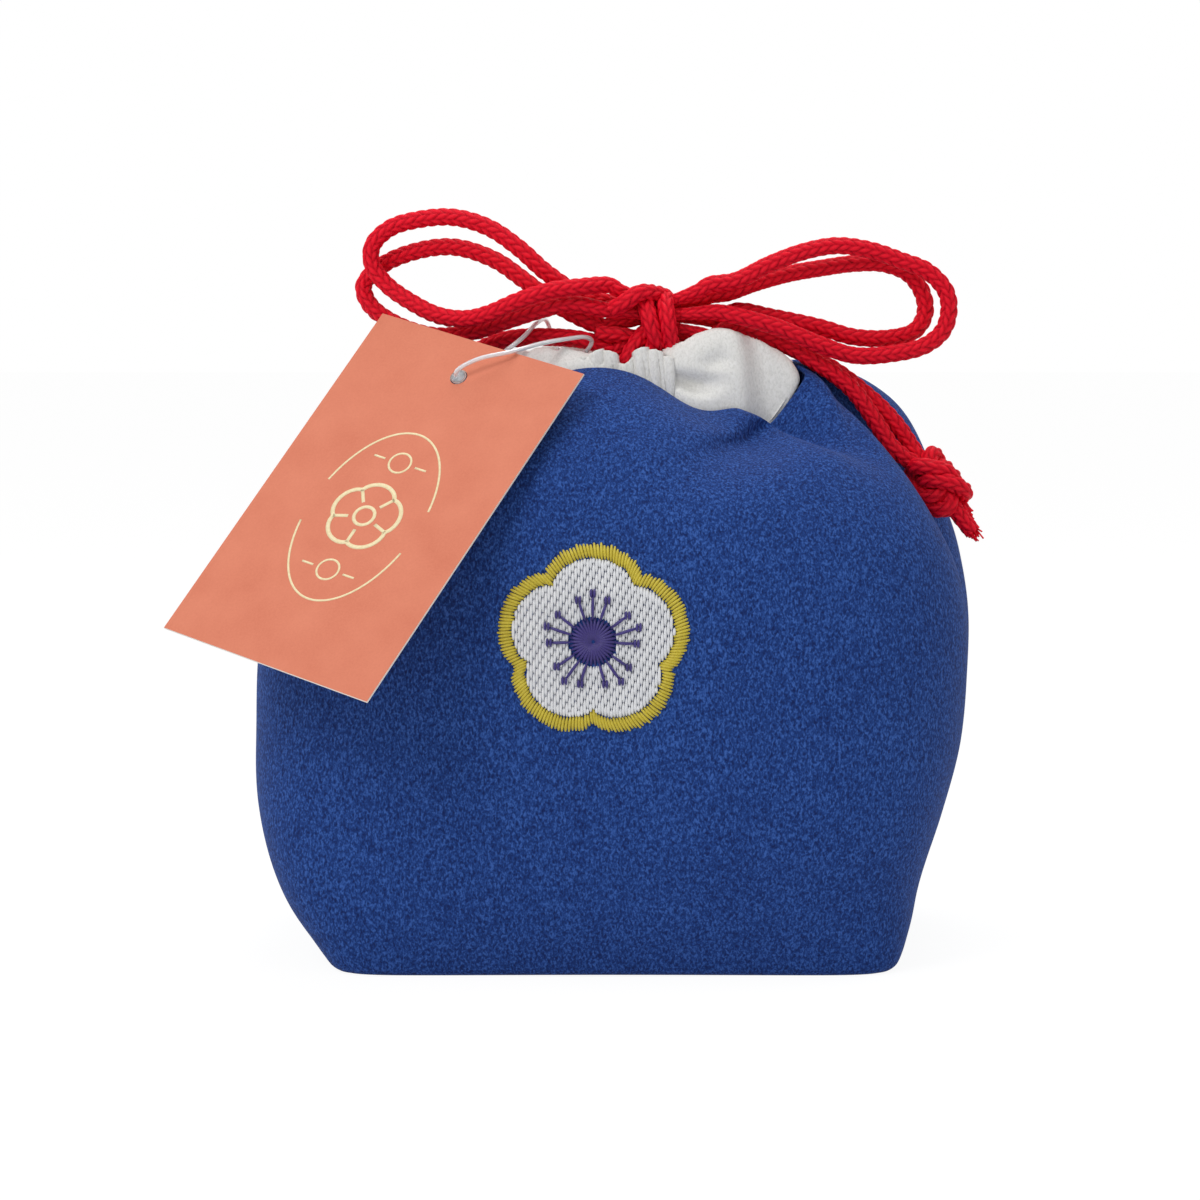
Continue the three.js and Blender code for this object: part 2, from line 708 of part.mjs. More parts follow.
// The depth of the front cloth's face at a place, found by halving the way up the wall and then across it.
const halvings = 24;
const [lowestShare, highestShare] = [0, 0.75];
const [leftmostShare, rightmostShare] = [0.1, 0.9];
const clothHeight = (x, z) => {
  let [low, high] = [lowestShare, highestShare];
  for (let k = 0; k < halvings; k++) {
    const up = (low + high) / 2;
    if (outline(up).height < z) low = up;
    else high = up;
  }
  let [left, right] = [leftmostShare, rightmostShare];
  for (let k = 0; k < halvings; k++) {
    const across = (left + right) / 2;
    if (wallPoint(FRONT, across, low).x < x) left = across;
    else right = across;
  }
  return wallPoint(FRONT, left, low).y;
};

// The card hangs from its hole: its place and its lean. It stands off from the bag's shoulder beside it.
const tagPlace = -34.3;
const tagDrop = 2.6; // from the rim down to the hole
const shoulderPlace = -40;
const shoulderDrop = 20; // from the rim down to the shoulder
const tagStandOff = 17.9; // from the shoulder's face back to the hole
const shoulderDepth = clothHeight(shoulderPlace, rimHeight - shoulderDrop);
const tagHolePlace = aboveRim(tagPlace, shoulderDepth + tagStandOff, -tagDrop);
const tagRight = new THREE.Vector3(0.8256, -0.5177, -0.2244).normalize();
const tagUp = new THREE.Vector3(0.4949, 0.4734, 0.7287).normalize();

const holeSegments = 12;
function tagGeometry() {
  const card = new THREE.Shape();
  const top = tagHoleInset;
  const bottom = tagHoleInset - tagLength;
  card.moveTo(-tagWidth / 2, bottom);
  card.lineTo(tagWidth / 2, bottom);
  card.lineTo(tagWidth / 2, top);
  card.lineTo(-tagWidth / 2, top);
  card.closePath();
  const hole = new THREE.Path();
  hole.absarc(0, 0, tagHoleDiameter / 2, 0, 2 * Math.PI, true);
  card.holes.push(hole);
  const geometry = new THREE.ExtrudeGeometry(card, {
    depth: tagThickness,
    bevelEnabled: false,
    curveSegments: holeSegments,
  });
  return geometry.translate(0, 0, -tagThickness / 2);
}

// The clear fastener: a thin filament from its lock head through the card, round the left roots and back.
const tagFace = tagRight.clone().cross(tagUp);
const throughTag = (distance) => tagHolePlace.clone().addScaledVector(tagFace, distance);
const fastenerHeadPlace = -4.5;
const fastenerRoute = [
  throughTag(fastenerHeadPlace),
  throughTag(-2 * fastenerDiameter),
  throughTag(2 * fastenerDiameter),
  ...route([
    [-30.5, -28.4, 1.4],
    [-22.6, -27.4, 3.2],
    [-16, -21, 4.8],
    [-10.6, -16.4, 5.6],
    [-6.4, -14, 5.9],
    [-5, -12.6, 5],
    [-6, -12.3, 3],
    [-8.6, -8, 1.6],
    [-11.6, -2.6, 1.9],
    [-13.8, 1.8, 5],
    [-15.4, -0.4, 9.2],
    [-17.4, -6.2, 8.9],
    [-20.4, -10.4, 5.8],
    [-25.6, -14.6, 1.8],
    [-30.4, -18.6, -2.4],
  ]),
  throughTag(fastenerHeadPlace),
];
const fastenerSides = 6;
const fastenerStep = 3 * fastenerDiameter;
function fastenerGeometry() {
  const head = new THREE.BoxGeometry(fastenerHeadLength, fastenerHeadWidth, fastenerHeadWidth);
  const centre = throughTag(fastenerHeadPlace);
  head.translate(centre.x, centre.y, centre.z);
  return joined([head, tube(fastenerRoute, fastenerDiameter, fastenerSides, fastenerStep)]);
}

// The blossom's outline: five round petals that meet in notches.
const petalCount = 5;
const petalDepthShare = 0.16;
const petalRoundness = 0.6;
const borderWidth = 3.2;
function blossomRadius(angle, radius) {
  const wave = Math.abs(Math.sin((petalCount * (angle - Math.PI / 2)) / 2 + Math.PI / 2));
  return radius * (1 - petalDepthShare + petalDepthShare * wave ** petalRoundness);
}

// A patch of thread that lies on the front cloth, as a band between two radii round a centre.
function threadPatch(centreX, centreZ, innerRadius, outerRadius, turns, rings) {
  const point = (turn, share, lift) => {
    const angle = 2 * Math.PI * turn;
    const radius = lerp(innerRadius(angle), outerRadius(angle), share);
    const x = centreX + radius * Math.cos(angle);
    const z = centreZ + radius * Math.sin(angle);
    return settle(new THREE.Vector3(x, clothHeight(x, z) - clearance - lift, z));
  };
  const positions = [];
  const index = [];
  const loops = [];
  for (let k = 0; k <= rings; k++) loops.push([k / rings, threadThickness]);
  for (let k = rings; k >= 0; k--) loops.push([k / rings, 0]);
  loops.forEach(([share, lift]) => {
    for (let i = 0; i < turns; i++) positions.push(...point(i / turns, share, lift).toArray());
  });
  loops.forEach((_, j) => {
    const next = (j + 1) % loops.length;
    for (let i = 0; i < turns; i++) {
      const [a, b] = [i, (i + 1) % turns];
      index.push(j * turns + a, j * turns + b, next * turns + b);
      index.push(j * turns + a, next * turns + b, next * turns + a);
    }
  });
  return facingOut(positions, index);
}

const colours = {
  blueCrepe: [0x22407b, 0.85],
  whiteCrepe: [0xeeece6, 0.85],
  redBraid: [0xc8202a, 0.7],
  mustardThread: [0xb8a53a, 0.55],
  whiteThread: [0xf0eee8, 0.55],
  indigoThread: [0x2a2c7c, 0.55],
  salmonCard: [0xe18e71, 0.8],
  clearPlastic: [0xdfe3e6, 0.2],
};
const finishes = Object.fromEntries(
  Object.entries(colours).map(([name, [color, roughness]]) => [
    name,
    new THREE.MeshStandardMaterial({ color, roughness, metalness: 0 }),
  ]),
);

const pouch = new THREE.Group();
function place(name, geometry, finish) {
  const mesh = new THREE.Mesh(geometry, finishes[finish]);
  mesh.name = name;
  pouch.add(mesh);
  return mesh;
}

const liningDepth = shellThickness + liningGap;
const liningRows = wallRows - 1; // it stops short of the rim
for (const [name, side] of [["front", FRONT], ["back", BACK]]) {
  place(`outer_${name}_panel`, panel(side, 0, shellThickness, wallRows), "blueCrepe");
  place(`lining_${name}_panel`, panel(side, liningDepth, liningThickness, liningRows), "whiteCrepe");
}
for (const [name, end] of [["left", LEFT], ["right", RIGHT]])
  place(`mouth_band_${name}`, bandHalf(end), "whiteCrepe");

place("drawcord_front", cord(ringRoute(FRONT, frontRingHeight, ...frontRiseRoutes)), "redBraid");
place("drawcord_back", cord(ringRoute(BACK, backRingHeight, ...backRiseRoutes)), "redBraid");
place("bow_knot", knotGeometry(), "redBraid");

for (const [name, start, points, end] of [
  ["left_loop_outer", "leftOuterStart", leftOuterRoute, "leftOuterEnd"],
  ["left_loop_inner", "leftInnerStart", leftInnerRoute, "leftInnerEnd"],
  ["right_loop_outer", "rightOuterStart", rightOuterRoute, "rightOuterEnd"],
  ["right_loop_inner", "rightInnerStart", rightInnerRoute, "rightInnerEnd"],
])
  place(name, cord([...leadFrom(start), ...points, ...leadFrom(end).reverse()]), "redBraid");

for (const [where, port, root, tail] of [
  ["right/front", "rightTailFront", rightRootFrontRoute, rightTailFrontRoute],
  ["right/back", "rightTailBack", rightRootBackRoute, rightTailBackRoute],
  ["left/front", "leftTailFront", leftRootFrontRoute, rightTailFrontRoute.map(mirrored)],
  ["left/back", "leftTailBack", leftRootBackRoute, rightTailBackRoute.map(mirrored)],
]) {
  place(where.replace("/", "_root_"), cord([...leadFrom(port), ...root]), "redBraid");
  place(where.replace("/", "_tail_"), cord([...leadOn(root), ...tail]), "redBraid");
}

for (const [side, placed] of [["right", (p) => p.clone()], ["left", mirrored]]) {
  const [start, tip] = [placed(endKnotStart), placed(cordEndTip)];
  const direction = tip.clone().sub(start).normalize();
  place(`${side}_end_knot`, endKnot(start, direction), "redBraid");
  const cordEndStart = start.addScaledVector(direction, endKnotLength + clearance);
  place(`${side}_cord_end`, cord([cordEndStart, tip]), "redBraid");
}

const blossomBorder = (angle) => blossomRadius(angle, blossomDiameter / 2);
const blossomFill = (angle) => blossomBorder(angle) - borderWidth;
const centreRadius = blossomDiameter / 8;
const eyeRadius = blossomDiameter / 30;
const borderSteps = 60;
const centreSteps = 20;
const threadGap = 0.42; // between the threads of two colours
place(
  "blossom_border",
  threadPatch(blossomPlace, blossomHeight, blossomFill, blossomBorder, borderSteps, 1),
  "mustardThread",
);
place(
  "blossom_petals",
  threadPatch(
    blossomPlace,
    blossomHeight,
    () => centreRadius + threadGap,
    (angle) => blossomFill(angle) - threadGap,
    borderSteps,
    2,
  ),
  "whiteThread",
);
place(
  "blossom_centre",
  threadPatch(blossomPlace, blossomHeight, () => eyeRadius, () => centreRadius, centreSteps, 1),
  "indigoThread",
);

const tag = place("hang_tag", tagGeometry(), "salmonCard");
tag.position.copy(tagHolePlace);
tag.setRotationFromMatrix(new THREE.Matrix4().makeBasis(tagRight, tagUp, tagFace));

place("tag_fastener", fastenerGeometry(), "clearPlastic");

export default pouch;
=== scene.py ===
# %% [markdown]
# # A drawstring charm pouch, dressed in cloth, braid and thread
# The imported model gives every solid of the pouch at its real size, on bodies that can move. This script
# keeps that frame and makes the fine surfaces over it: crepe cloth, a braided cord tied in a bow,
# embroidery stitch by stitch, and a printed card on a clear fastener.

# %% Load the frame
import math

import bmesh
import bpy
import numpy as np
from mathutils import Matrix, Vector
from mathutils.bvhtree import BVHTree


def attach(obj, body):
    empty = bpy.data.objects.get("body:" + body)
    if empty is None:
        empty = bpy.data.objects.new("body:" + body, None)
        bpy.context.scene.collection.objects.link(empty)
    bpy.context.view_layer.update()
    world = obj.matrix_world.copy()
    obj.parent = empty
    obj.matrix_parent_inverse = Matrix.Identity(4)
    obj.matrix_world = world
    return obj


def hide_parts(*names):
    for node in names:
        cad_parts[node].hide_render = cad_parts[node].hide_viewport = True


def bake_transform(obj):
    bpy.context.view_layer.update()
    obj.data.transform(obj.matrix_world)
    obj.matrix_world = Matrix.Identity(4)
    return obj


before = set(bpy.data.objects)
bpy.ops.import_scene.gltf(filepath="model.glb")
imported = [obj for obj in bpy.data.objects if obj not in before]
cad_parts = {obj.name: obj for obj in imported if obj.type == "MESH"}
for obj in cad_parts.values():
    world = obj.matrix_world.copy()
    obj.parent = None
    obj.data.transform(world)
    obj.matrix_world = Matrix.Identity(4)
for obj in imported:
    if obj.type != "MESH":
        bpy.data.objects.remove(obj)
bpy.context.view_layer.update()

# %% [markdown]
# Blender works in metres, but a pouch is easier to think of in millimetres. Every length below is in
# millimetres, and the helpers that make meshes turn them into metres at the very end.

# %% Units and small helpers
MM = 0.001
TURN = 2 * math.pi
HALF_TURN = 180
TINY = 1e-9
LEFT, RIGHT = -1, 1
FRONT, BACK = -1, 1


def smoothstep(value, low, high):
    t = np.clip((value - low) / (high - low), 0, 1)
    return t * t * (3 - 2 * t)


def lerp(a, b, share):
    return a + (b - a) * share


def unit(vectors):
    return vectors / np.linalg.norm(vectors, axis=-1, keepdims=True)


def metres(point):
    return tuple(float(x) * MM for x in point)


def add_object(name, data):
    added = bpy.data.objects.new(name, data)
    bpy.context.scene.collection.objects.link(added)
    return added

# %% [markdown]
# The camera stands where the photographer stood: straight in front, a little above the knot, with a long
# lens. At the pouch's middle one millimetre is 4.37 of the picture's 1200 pixels, which gives the field of
# view.

# %% Camera
PICTURE_PIXELS = 1200
PIXELS_PER_MM = 4.37
CAMERA_DISTANCE = 850
CAMERA_HEIGHT_ANGLE = math.radians(6)
CAMERA_TARGET = np.array([-3.2, 0, 78.4])

camera_data = bpy.data.cameras.new("camera")
camera_data.sensor_fit = "HORIZONTAL"
half_picture = PICTURE_PIXELS / PIXELS_PER_MM / 2
camera_data.angle = 2 * math.atan(half_picture / CAMERA_DISTANCE)
camera = add_object("camera", camera_data)
backwards = np.array([0, -math.cos(CAMERA_HEIGHT_ANGLE), math.sin(CAMERA_HEIGHT_ANGLE)])
camera.location = metres(CAMERA_TARGET + CAMERA_DISTANCE * backwards)
camera.rotation_euler = Vector(-backwards).to_track_quat("-Z", "Y").to_euler()
bpy.context.scene.camera = camera
print("field of view:", round(math.degrees(camera_data.angle), 2), "degrees")

# %% [markdown]
# The stuffed pouch has turned a little on its base and leans to the right, more so with height. The cords'
# routes on the right are measured in place. The left tails mirror the right ones, so they are turned back
# upright, mirrored, and settled again.

# %% How the body has settled
RIM_HEIGHT = 133
MOUTH_LEAN = 4.6
BODY_TWIST = math.radians(-6)
TWIST_HEIGHT = 46
LEAN_SHARES = [0, -0.6, -0.4, 0, 0.2, 0.45, 0.7, 0.9, 1]


def read_table(table, share):
    """Rows of a table, read between them on a smooth curve."""
    table = np.asarray(table, float)
    if table.ndim == 1:
        table = table[:, None]
    place = np.clip(share, 0, 1) * (len(table) - 1)
    index = np.minimum(np.floor(place).astype(int), len(table) - 2)
    t = (place - index)[..., None]
    a, b, c, d = (table[np.clip(index + k, 0, len(table) - 1)] for k in (-1, 0, 1, 2))
    return b + t * (c - a + t * (2 * a - 5 * b + 4 * c - d + t * (3 * (b - c) + d - a))) / 2


def turned(points, angle):
    c, s = np.cos(angle), np.sin(angle)
    x, y, z = points[..., 0], points[..., 1], points[..., 2]
    return np.stack([c * x - s * y, s * x + c * y, z], axis=-1)


def lean_and_twist(points):
    z = points[..., 2]
    lean = MOUTH_LEAN * read_table(LEAN_SHARES, z / RIM_HEIGHT)[..., 0]
    return lean, BODY_TWIST * smoothstep(z, 0, TWIST_HEIGHT)


def settle(points):
    points = np.asarray(points, float)
    lean, twist = lean_and_twist(points)
    moved = turned(points, twist)
    moved[..., 0] += lean
    return moved


def mirrored(points):
    points = np.array(points, float)
    lean, twist = lean_and_twist(points)
    points[..., 0] -= lean
    upright = turned(points, -twist)
    upright[..., 0] *= -1
    return settle(upright)


# %% [markdown]
# The cord is one length of round braid, folded and tied. Its free stretches are listed here as points, from
# the knot outwards, in the same places as the frame's plain tubes. `smooth_path` runs a curve through them
# that hardly overshoots, which is why its steps go by the square root of each distance.

# %% Cord routes
CORD = 4
CLEARANCE = 0.3
KNOT_CENTRE = np.array([10.1, -9, 143.8])
KNOT_REACH = 10.5
# Six strands pass through the knot. For each: its depth and height in the middle, from the knot's centre,
# then its left and its right end's name, height from the centre, and depth in place.
STRANDS = [
    ((-1.6, 2), ("leftOuterStart", 5.4, -12.6), ("rightOuterStart", 5.5, -12)),
    ((-2.6, -0.2), ("leftInnerStart", 1, -12.2), ("rightOuterEnd", 0.5, -12)),
    ((1.6, 1.8), ("leftOuterEnd", 2.5, -7.4), ("rightInnerStart", 3.5, -6.4)),
    ((2.6, -0.3), ("leftInnerEnd", -2.2, -7.4), ("rightInnerEnd", -1, -6)),
    ((-1.3, -2.2), ("leftTailFront", -6.6, -9), ("rightTailFront", -4.4, -10.2)),
    ((1.3, -2.2), ("leftTailBack", -6.8, -4.4), ("rightTailBack", -6.5, -5.2)),
]
PORTS = {name: (middle, end, above, y) for middle, *ends in STRANDS
         for end, (name, above, y) in zip((LEFT, RIGHT), ends)}
LOOPS = {
    "left_loop_outer": ("leftOuterStart", "leftOuterEnd", [
        (-8, -15, 150.1), (-14.7, -15.3, 149.2), (-21.5, -15.3, 147), (-28.2, -13.6, 144.1),
        (-33.4, -11, 142.9), (-39.6, -8, 143.6), (-45.8, -5, 146.5), (-51.3, -3, 150.3),
        (-54.6, -2.5, 154.6), (-54.6, -2.5, 159.1), (-50.7, -3, 163), (-44.1, -4, 165),
        (-36.1, -5, 165.5), (-28.2, -6, 163.2), (-21.5, -7, 158.7), (-15.4, -7.4, 153.3),
        (-8.6, -7.4, 148.8),
    ]),
    "left_loop_inner": ("leftInnerStart", "leftInnerEnd", [
        (-9.7, -12.3, 146.3), (-16, -11.6, 145), (-23.8, -9.8, 142.5), (-31.6, -7, 139.9),
        (-40.8, -3.6, 138.9), (-50, -0.6, 141.7), (-55.6, 1.4, 145.9), (-56.9, 2.2, 150.1),
        (-52.9, 2.2, 154.5), (-45.5, 1.2, 157.7), (-36.4, 0.2, 158.8), (-27.2, -1, 156),
        (-20.5, -3, 151.5), (-14.4, -5.4, 146.9), (-8, -6.8, 143.2),
    ]),
    "right_loop_outer": ("rightOuterStart", "rightOuterEnd", [
        (27, -11.4, 151.4), (34.8, -10.4, 155.1), (42.5, -9.4, 157.9), (49.9, -8.4, 159.2),
        (57.5, -7.4, 158.2), (64.4, -6.4, 155.9), (70.6, -6, 153.4), (74.7, -6, 148.9),
        (75.4, -6.2, 144.5), (74, -6.4, 140), (69.8, -7, 136.7), (61.9, -8, 134.9),
        (53.7, -9.4, 134.7), (46, -10.6, 137.2), (36.9, -11.8, 140.9), (29, -12.4, 143.2),
    ]),
    "right_loop_inner": ("rightInnerStart", "rightInnerEnd", [
        (25.6, -6, 148.6), (31.6, -5, 150.7), (39.2, -4, 152.8), (46.7, -3, 154.1),
        (54.2, -2, 155.1), (61.1, -1, 155), (66.8, -0.4, 152.7), (70, -0.4, 148.2),
        (70.5, -0.4, 143.7), (68.2, -1.4, 140), (62.7, -2.6, 138.4), (54.3, -4, 138.6),
        (46.5, -4.2, 140.8), (35.2, -4.4, 143.2), (27.6, -5.1, 144.5),
    ]),
}
ROOTS = {
    "right_root_front": [(24.5, -8.6, 140.3), (28.3, -6.8, 141.2), (34.6, -6, 138.9), (40.6, -6.4, 136.1),
                         (45.6, -6.8, 132.9)],
    "right_root_back": [(24, -3.4, 138.6), (29.5, -2, 138.8), (35.5, -1.2, 137.7), (41, -2.1, 135.7),
                        (45.8, -2.6, 133.5)],
    "left_root_front": [(-6.3, -8.6, 138), (-15.1, -6.6, 138.8), (-24.7, -2.6, 138), (-31.5, 0.4, 135.2),
                        (-36.4, 2.3, 132.8)],
    "left_root_back": [(-5.8, -4, 137.6), (-14.6, -2, 138.4), (-23.3, 1.8, 137.8), (-30.8, 4.9, 135.4),
                       (-36.1, 6.6, 133)],
}
TAILS = {
    "front": [(49.8, -7, 130.2), (53.8, -7.1, 126.8), (57.2, -7.1, 122.4), (60.2, -7, 117.8),
              (62.9, -6.9, 113.8)],
    "back": [(50.9, -2.8, 130.5), (55.8, -3.1, 126.7), (60.6, -3.4, 122.5), (64.4, -3.4, 118.3),
             (67.4, -3.1, 113.9)],
}
END_KNOT_START = np.array([68.4, -5, 111.4])
CORD_END_TIP = np.array([83, -8.2, 93.4])
END_KNOT_LENGTH = 15
PATH_STEPS = 24


def port_point(name, distance):
    """A place on the line from the knot's middle out through a strand's port."""
    _, end, above, y = PORTS[name]
    across = end * math.sqrt(KNOT_REACH**2 - above**2)
    point = KNOT_CENTRE + np.array([across, 0, above]) * distance / KNOT_REACH
    point[1] = y
    return point


def lead(name):
    start = KNOT_REACH + CLEARANCE
    return [port_point(name, start), port_point(name, start + CORD / 2)]


def smooth_path(points):
    """A curve through the points, as a dense list of points."""
    points = np.array(points, float)
    padded = np.vstack([2 * points[0] - points[1], points, 2 * points[-1] - points[-2]])
    share = np.linspace(0, 1, PATH_STEPS, endpoint=False)[:, None]
    square, cube = share**2, share**3
    pieces = []
    for a, b, c, d in zip(padded, padded[1:], padded[2:], padded[3:]):
        before, here, after = (math.sqrt(max(np.linalg.norm(step), MM)) for step in (b - a, c - b, d - c))
        leaving = ((b - a) / before - (c - a) / (before + here) + (c - b) / here) * here
        arriving = ((c - b) / here - (d - b) / (here + after) + (d - c) / after) * here
        pieces.append((2 * cube - 3 * square + 1) * b + (cube - 2 * square + share) * leaving
                      + (3 * square - 2 * cube) * c + (cube - square) * arriving)
    return np.vstack([*pieces, points[-1:]])


def distances(path):
    """How far along a path each of its points lies."""
    return np.concatenate([[0], np.cumsum(np.linalg.norm(np.diff(path, axis=0), axis=1))])


def path_length(path):
    return float(np.linalg.norm(np.diff(path, axis=0), axis=1).sum())


def read_line(line, places, wanted):
    """Points of a line at the wanted places, read between its own points at theirs."""
    return np.stack([np.interp(wanted, places, axis) for axis in line.T], axis=-1)


def split_path(path, count):
    """The same line as a number of even steps."""
    places = distances(path)
    return read_line(path, places, np.linspace(0, places[-1], count + 1))


def even_path(path, step):
    return split_path(path, max(2, round(distances(path)[-1] / step)))


print("routes of loops:", len(LOOPS), "and of roots:", len(ROOTS))

# %% [markdown]
# A finish is a small program of nodes. To keep it readable, `Value` wraps a node's output so that ordinary
# arithmetic adds Math nodes, and `Finish.node` makes any other node from its settings and inputs.


# %% A small language for finishes
class Value:
    """One output in a finish's node tree; arithmetic on it adds Math nodes."""

    def __init__(self, finish, socket):
        self.finish, self.socket = finish, socket

    def maths(self, operation, first, second=None):
        inputs = {0: first} if second is None else {0: first, 1: second}
        return self.finish.node("ShaderNodeMath", {"operation": operation}, inputs)

    def __add__(self, other):
        return self.maths("ADD", self, other)

    def __mul__(self, other):
        return self.maths("MULTIPLY", self, other)

    def sine(self):
        return self.maths("SINE", self)

    def larger(self, other):
        return self.maths("MAXIMUM", self, other)


class Finish:
    """A material, or the world, and the one way in which its nodes are made."""

    def __init__(self, name, kind="materials"):
        self.owner = getattr(bpy.data, kind).new(name)
        self.owner.use_nodes = True
        self.tree = self.owner.node_tree
        self.tree.nodes.clear()

    def node(self, kind, settings=None, inputs=None, output=0):
        made = self.tree.nodes.new(kind)
        for key, value in (settings or {}).items():
            if key == "stops":
                ramp = made.color_ramp.elements
                while len(ramp) < len(value):
                    ramp.new(1)
                for element, (place, colour) in zip(ramp, value):
                    element.position, element.color = place, colour
            else:
                setattr(made, key, value)
        for key, value in (inputs or {}).items():
            if isinstance(value, Value):
                self.tree.links.new(value.socket, made.inputs[key])
            else:
                made.inputs[key].default_value = value
        return None if output is None else Value(self, made.outputs[output])

    def place(self):
        return self.node("ShaderNodeTexCoord", output="Object")

    def noise(self, size, detail=2, roughness=0.5, distortion=0, where=None):
        """A cloudy pattern whose grains are about size millimetres."""
        return self.node("ShaderNodeTexNoise", inputs={
            "Vector": where or self.place(), "Scale": 1 / (size * MM), "Detail": detail,
            "Roughness": roughness, "Distortion": distortion}, output="Fac")

    def attribute(self, name):
        return self.node("ShaderNodeAttribute", {"attribute_name": name}, output="Fac")

    def ramp(self, value, stops):
        """Colours along a value. Each stop is its place and its red, green and blue from 0 to 255."""
        stops = [(place, colour(*shade)) for place, *shade in stops]
        return self.node("ShaderNodeValToRGB", {"stops": stops}, {"Fac": value}, output="Color")

    def mixed(self, factor, first, second):
        """The first colour where the factor is 0 and the second where it is 1."""
        return self.node("ShaderNodeMix", {"data_type": "RGBA"}, {0: factor, 6: first, 7: second}, output=2)

    def bump(self, height, depth):
        """Relief of a height between 0 and 1 that stands depth millimetres tall."""
        inputs = {"Height": height, "Distance": depth * MM}
        return self.node("ShaderNodeBump", inputs=inputs, output="Normal")

    def ends_with(self, shader, kind="ShaderNodeOutputMaterial"):
        self.node(kind, inputs={"Surface": shader}, output=None)
        print("finish:", self.owner.name)
        return self.owner

    def surface(self, **inputs):
        named = {key.replace("_", " "): value for key, value in inputs.items()}
        return self.ends_with(self.node("ShaderNodeBsdfPrincipled", inputs=named))


def colour(red, green, blue):
    """A picture's 0 to 255 colour as the linear colour that a shader takes, by the sRGB curve."""
    def linear(byte):
        share = byte / 255
        return share / 12.92 if share <= 0.04045 else ((share + 0.055) / 1.055) ** 2.4

    return (linear(red), linear(green), linear(blue), 1.0)

# %% [markdown]
# Blue crepe is woven from hard-twisted yarn, so its face is all small pebbles, half a millimetre across,
# that catch the light. Two sizes of noise make the pebbles, drawn out along the upright yarns, and a third,
# much larger one makes the cloth a little paler and darker. White crepe has the same grain. Both have a
# faint sheen, as cloth fibres do.

# %% Crepe
PEBBLE = 0.5
YARN_STRETCH = (1, 1, 0.6)
CLOUD = 18
BLUES = [(0.34, 12, 34, 90), (0.5, 27, 61, 129), (0.66, 58, 98, 176)]
WHITES = [(0.34, 226, 225, 221), (0.5, 238, 237, 233), (0.66, 244, 243, 240)]
BLUE_RELIEF, WHITE_RELIEF = 0.3, 0.14
PEBBLE_SHARE, CLOUD_SHARE = 0.68, 0.06


def crepe(name, shades, relief):
    finish = Finish(name)
    drawn_out = finish.node("ShaderNodeVectorMath", {"operation": "MULTIPLY"},
                            {0: finish.place(), 1: YARN_STRETCH})
    pebbles = finish.noise(PEBBLE, detail=1, roughness=0.4, distortion=0.5, where=drawn_out)
    fine = finish.noise(PEBBLE / 2, detail=1, where=drawn_out)
    height = pebbles * PEBBLE_SHARE + fine * (1 - PEBBLE_SHARE)
    shade = height * (1 - CLOUD_SHARE) + finish.noise(CLOUD, detail=3) * CLOUD_SHARE
    return finish.surface(Base_Color=finish.ramp(shade, shades), Roughness=0.88, Sheen_Weight=0.04,
                          Sheen_Roughness=0.5, Specular_IOR_Level=0.2, Normal=finish.bump(height, relief))


blue_crepe = crepe("blue_crepe", BLUES, BLUE_RELIEF)
white_crepe = crepe("white_crepe", WHITES, WHITE_RELIEF)

# %% [markdown]
# Meshes are made from arrays of points. `grid_faces` joins rows and columns of points with quads, and
# `closed_sheet` makes cloth of real thickness from an outer and an inner grid with the same layout.


# %% Meshes from grids
def add_mesh(name, points, faces, material, body, replaces=(), attributes=None):
    """A smooth-shaded piece from points in millimetres, finished, named and riding on its body."""
    mesh = bpy.data.meshes.new(name)
    mesh.from_pydata((np.asarray(points) * MM).tolist(), [], [list(map(int, face)) for face in faces])
    for key, values in (attributes or {}).items():
        mesh.attributes.new(key, "FLOAT", "POINT").data.foreach_set("value", np.asarray(values, np.float32))
    mesh.shade_smooth()
    piece = add_object(name, mesh)
    mesh.materials.append(material)
    if body:
        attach(piece, body)
    if replaces:
        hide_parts(*replaces)
    print(f"{name}: {len(points)} points")
    return piece


def grid_faces(rows, columns, first=0, closed=False):
    """Quads between neighbours of a grid that is stored row by row."""
    across = columns if closed else columns - 1
    row, column = np.meshgrid(np.arange(rows - 1), np.arange(across), indexing="ij")
    after = (column + 1) % columns
    corners = [row * columns + column, row * columns + after,
               (row + 1) * columns + after, (row + 1) * columns + column]
    return np.stack(corners, axis=-1).reshape(-1, 4) + first


def facing_out(points, faces):
    """The quads, turned round if they point into the volume that they close."""
    a, b, c, d = (points[faces[:, k]] for k in range(4))
    volume = np.einsum("ij,ij->i", a, np.cross(b, c)).sum() + np.einsum("ij,ij->i", a, np.cross(c, d)).sum()
    return faces if volume > 0 else faces[:, ::-1]


def closed_sheet(outer, inner):
    """Points and quads of the solid between two grids, closed round its border."""
    rows, columns = outer.shape[:2]
    points = np.vstack([outer.reshape(-1, 3), inner.reshape(-1, 3)])
    count = rows * columns
    border = np.concatenate([
        np.arange(columns), np.arange(1, rows) * columns + columns - 1,
        (rows - 1) * columns + np.arange(columns - 2, -1, -1), np.arange(rows - 2, 0, -1) * columns])
    after = np.roll(border, -1)
    rim = np.stack([after, border, border + count, after + count], axis=-1)
    faces = np.vstack([grid_faces(rows, columns), grid_faces(rows, columns, count)[:, ::-1], rim])
    return points, facing_out(points, faces)


def grid_normals(grid):
    """Directions straight out of a grid's surface."""
    normal = np.cross(np.gradient(grid, axis=1), np.gradient(grid, axis=0))
    return normal / np.maximum(np.linalg.norm(normal, axis=-1, keepdims=True), TINY)


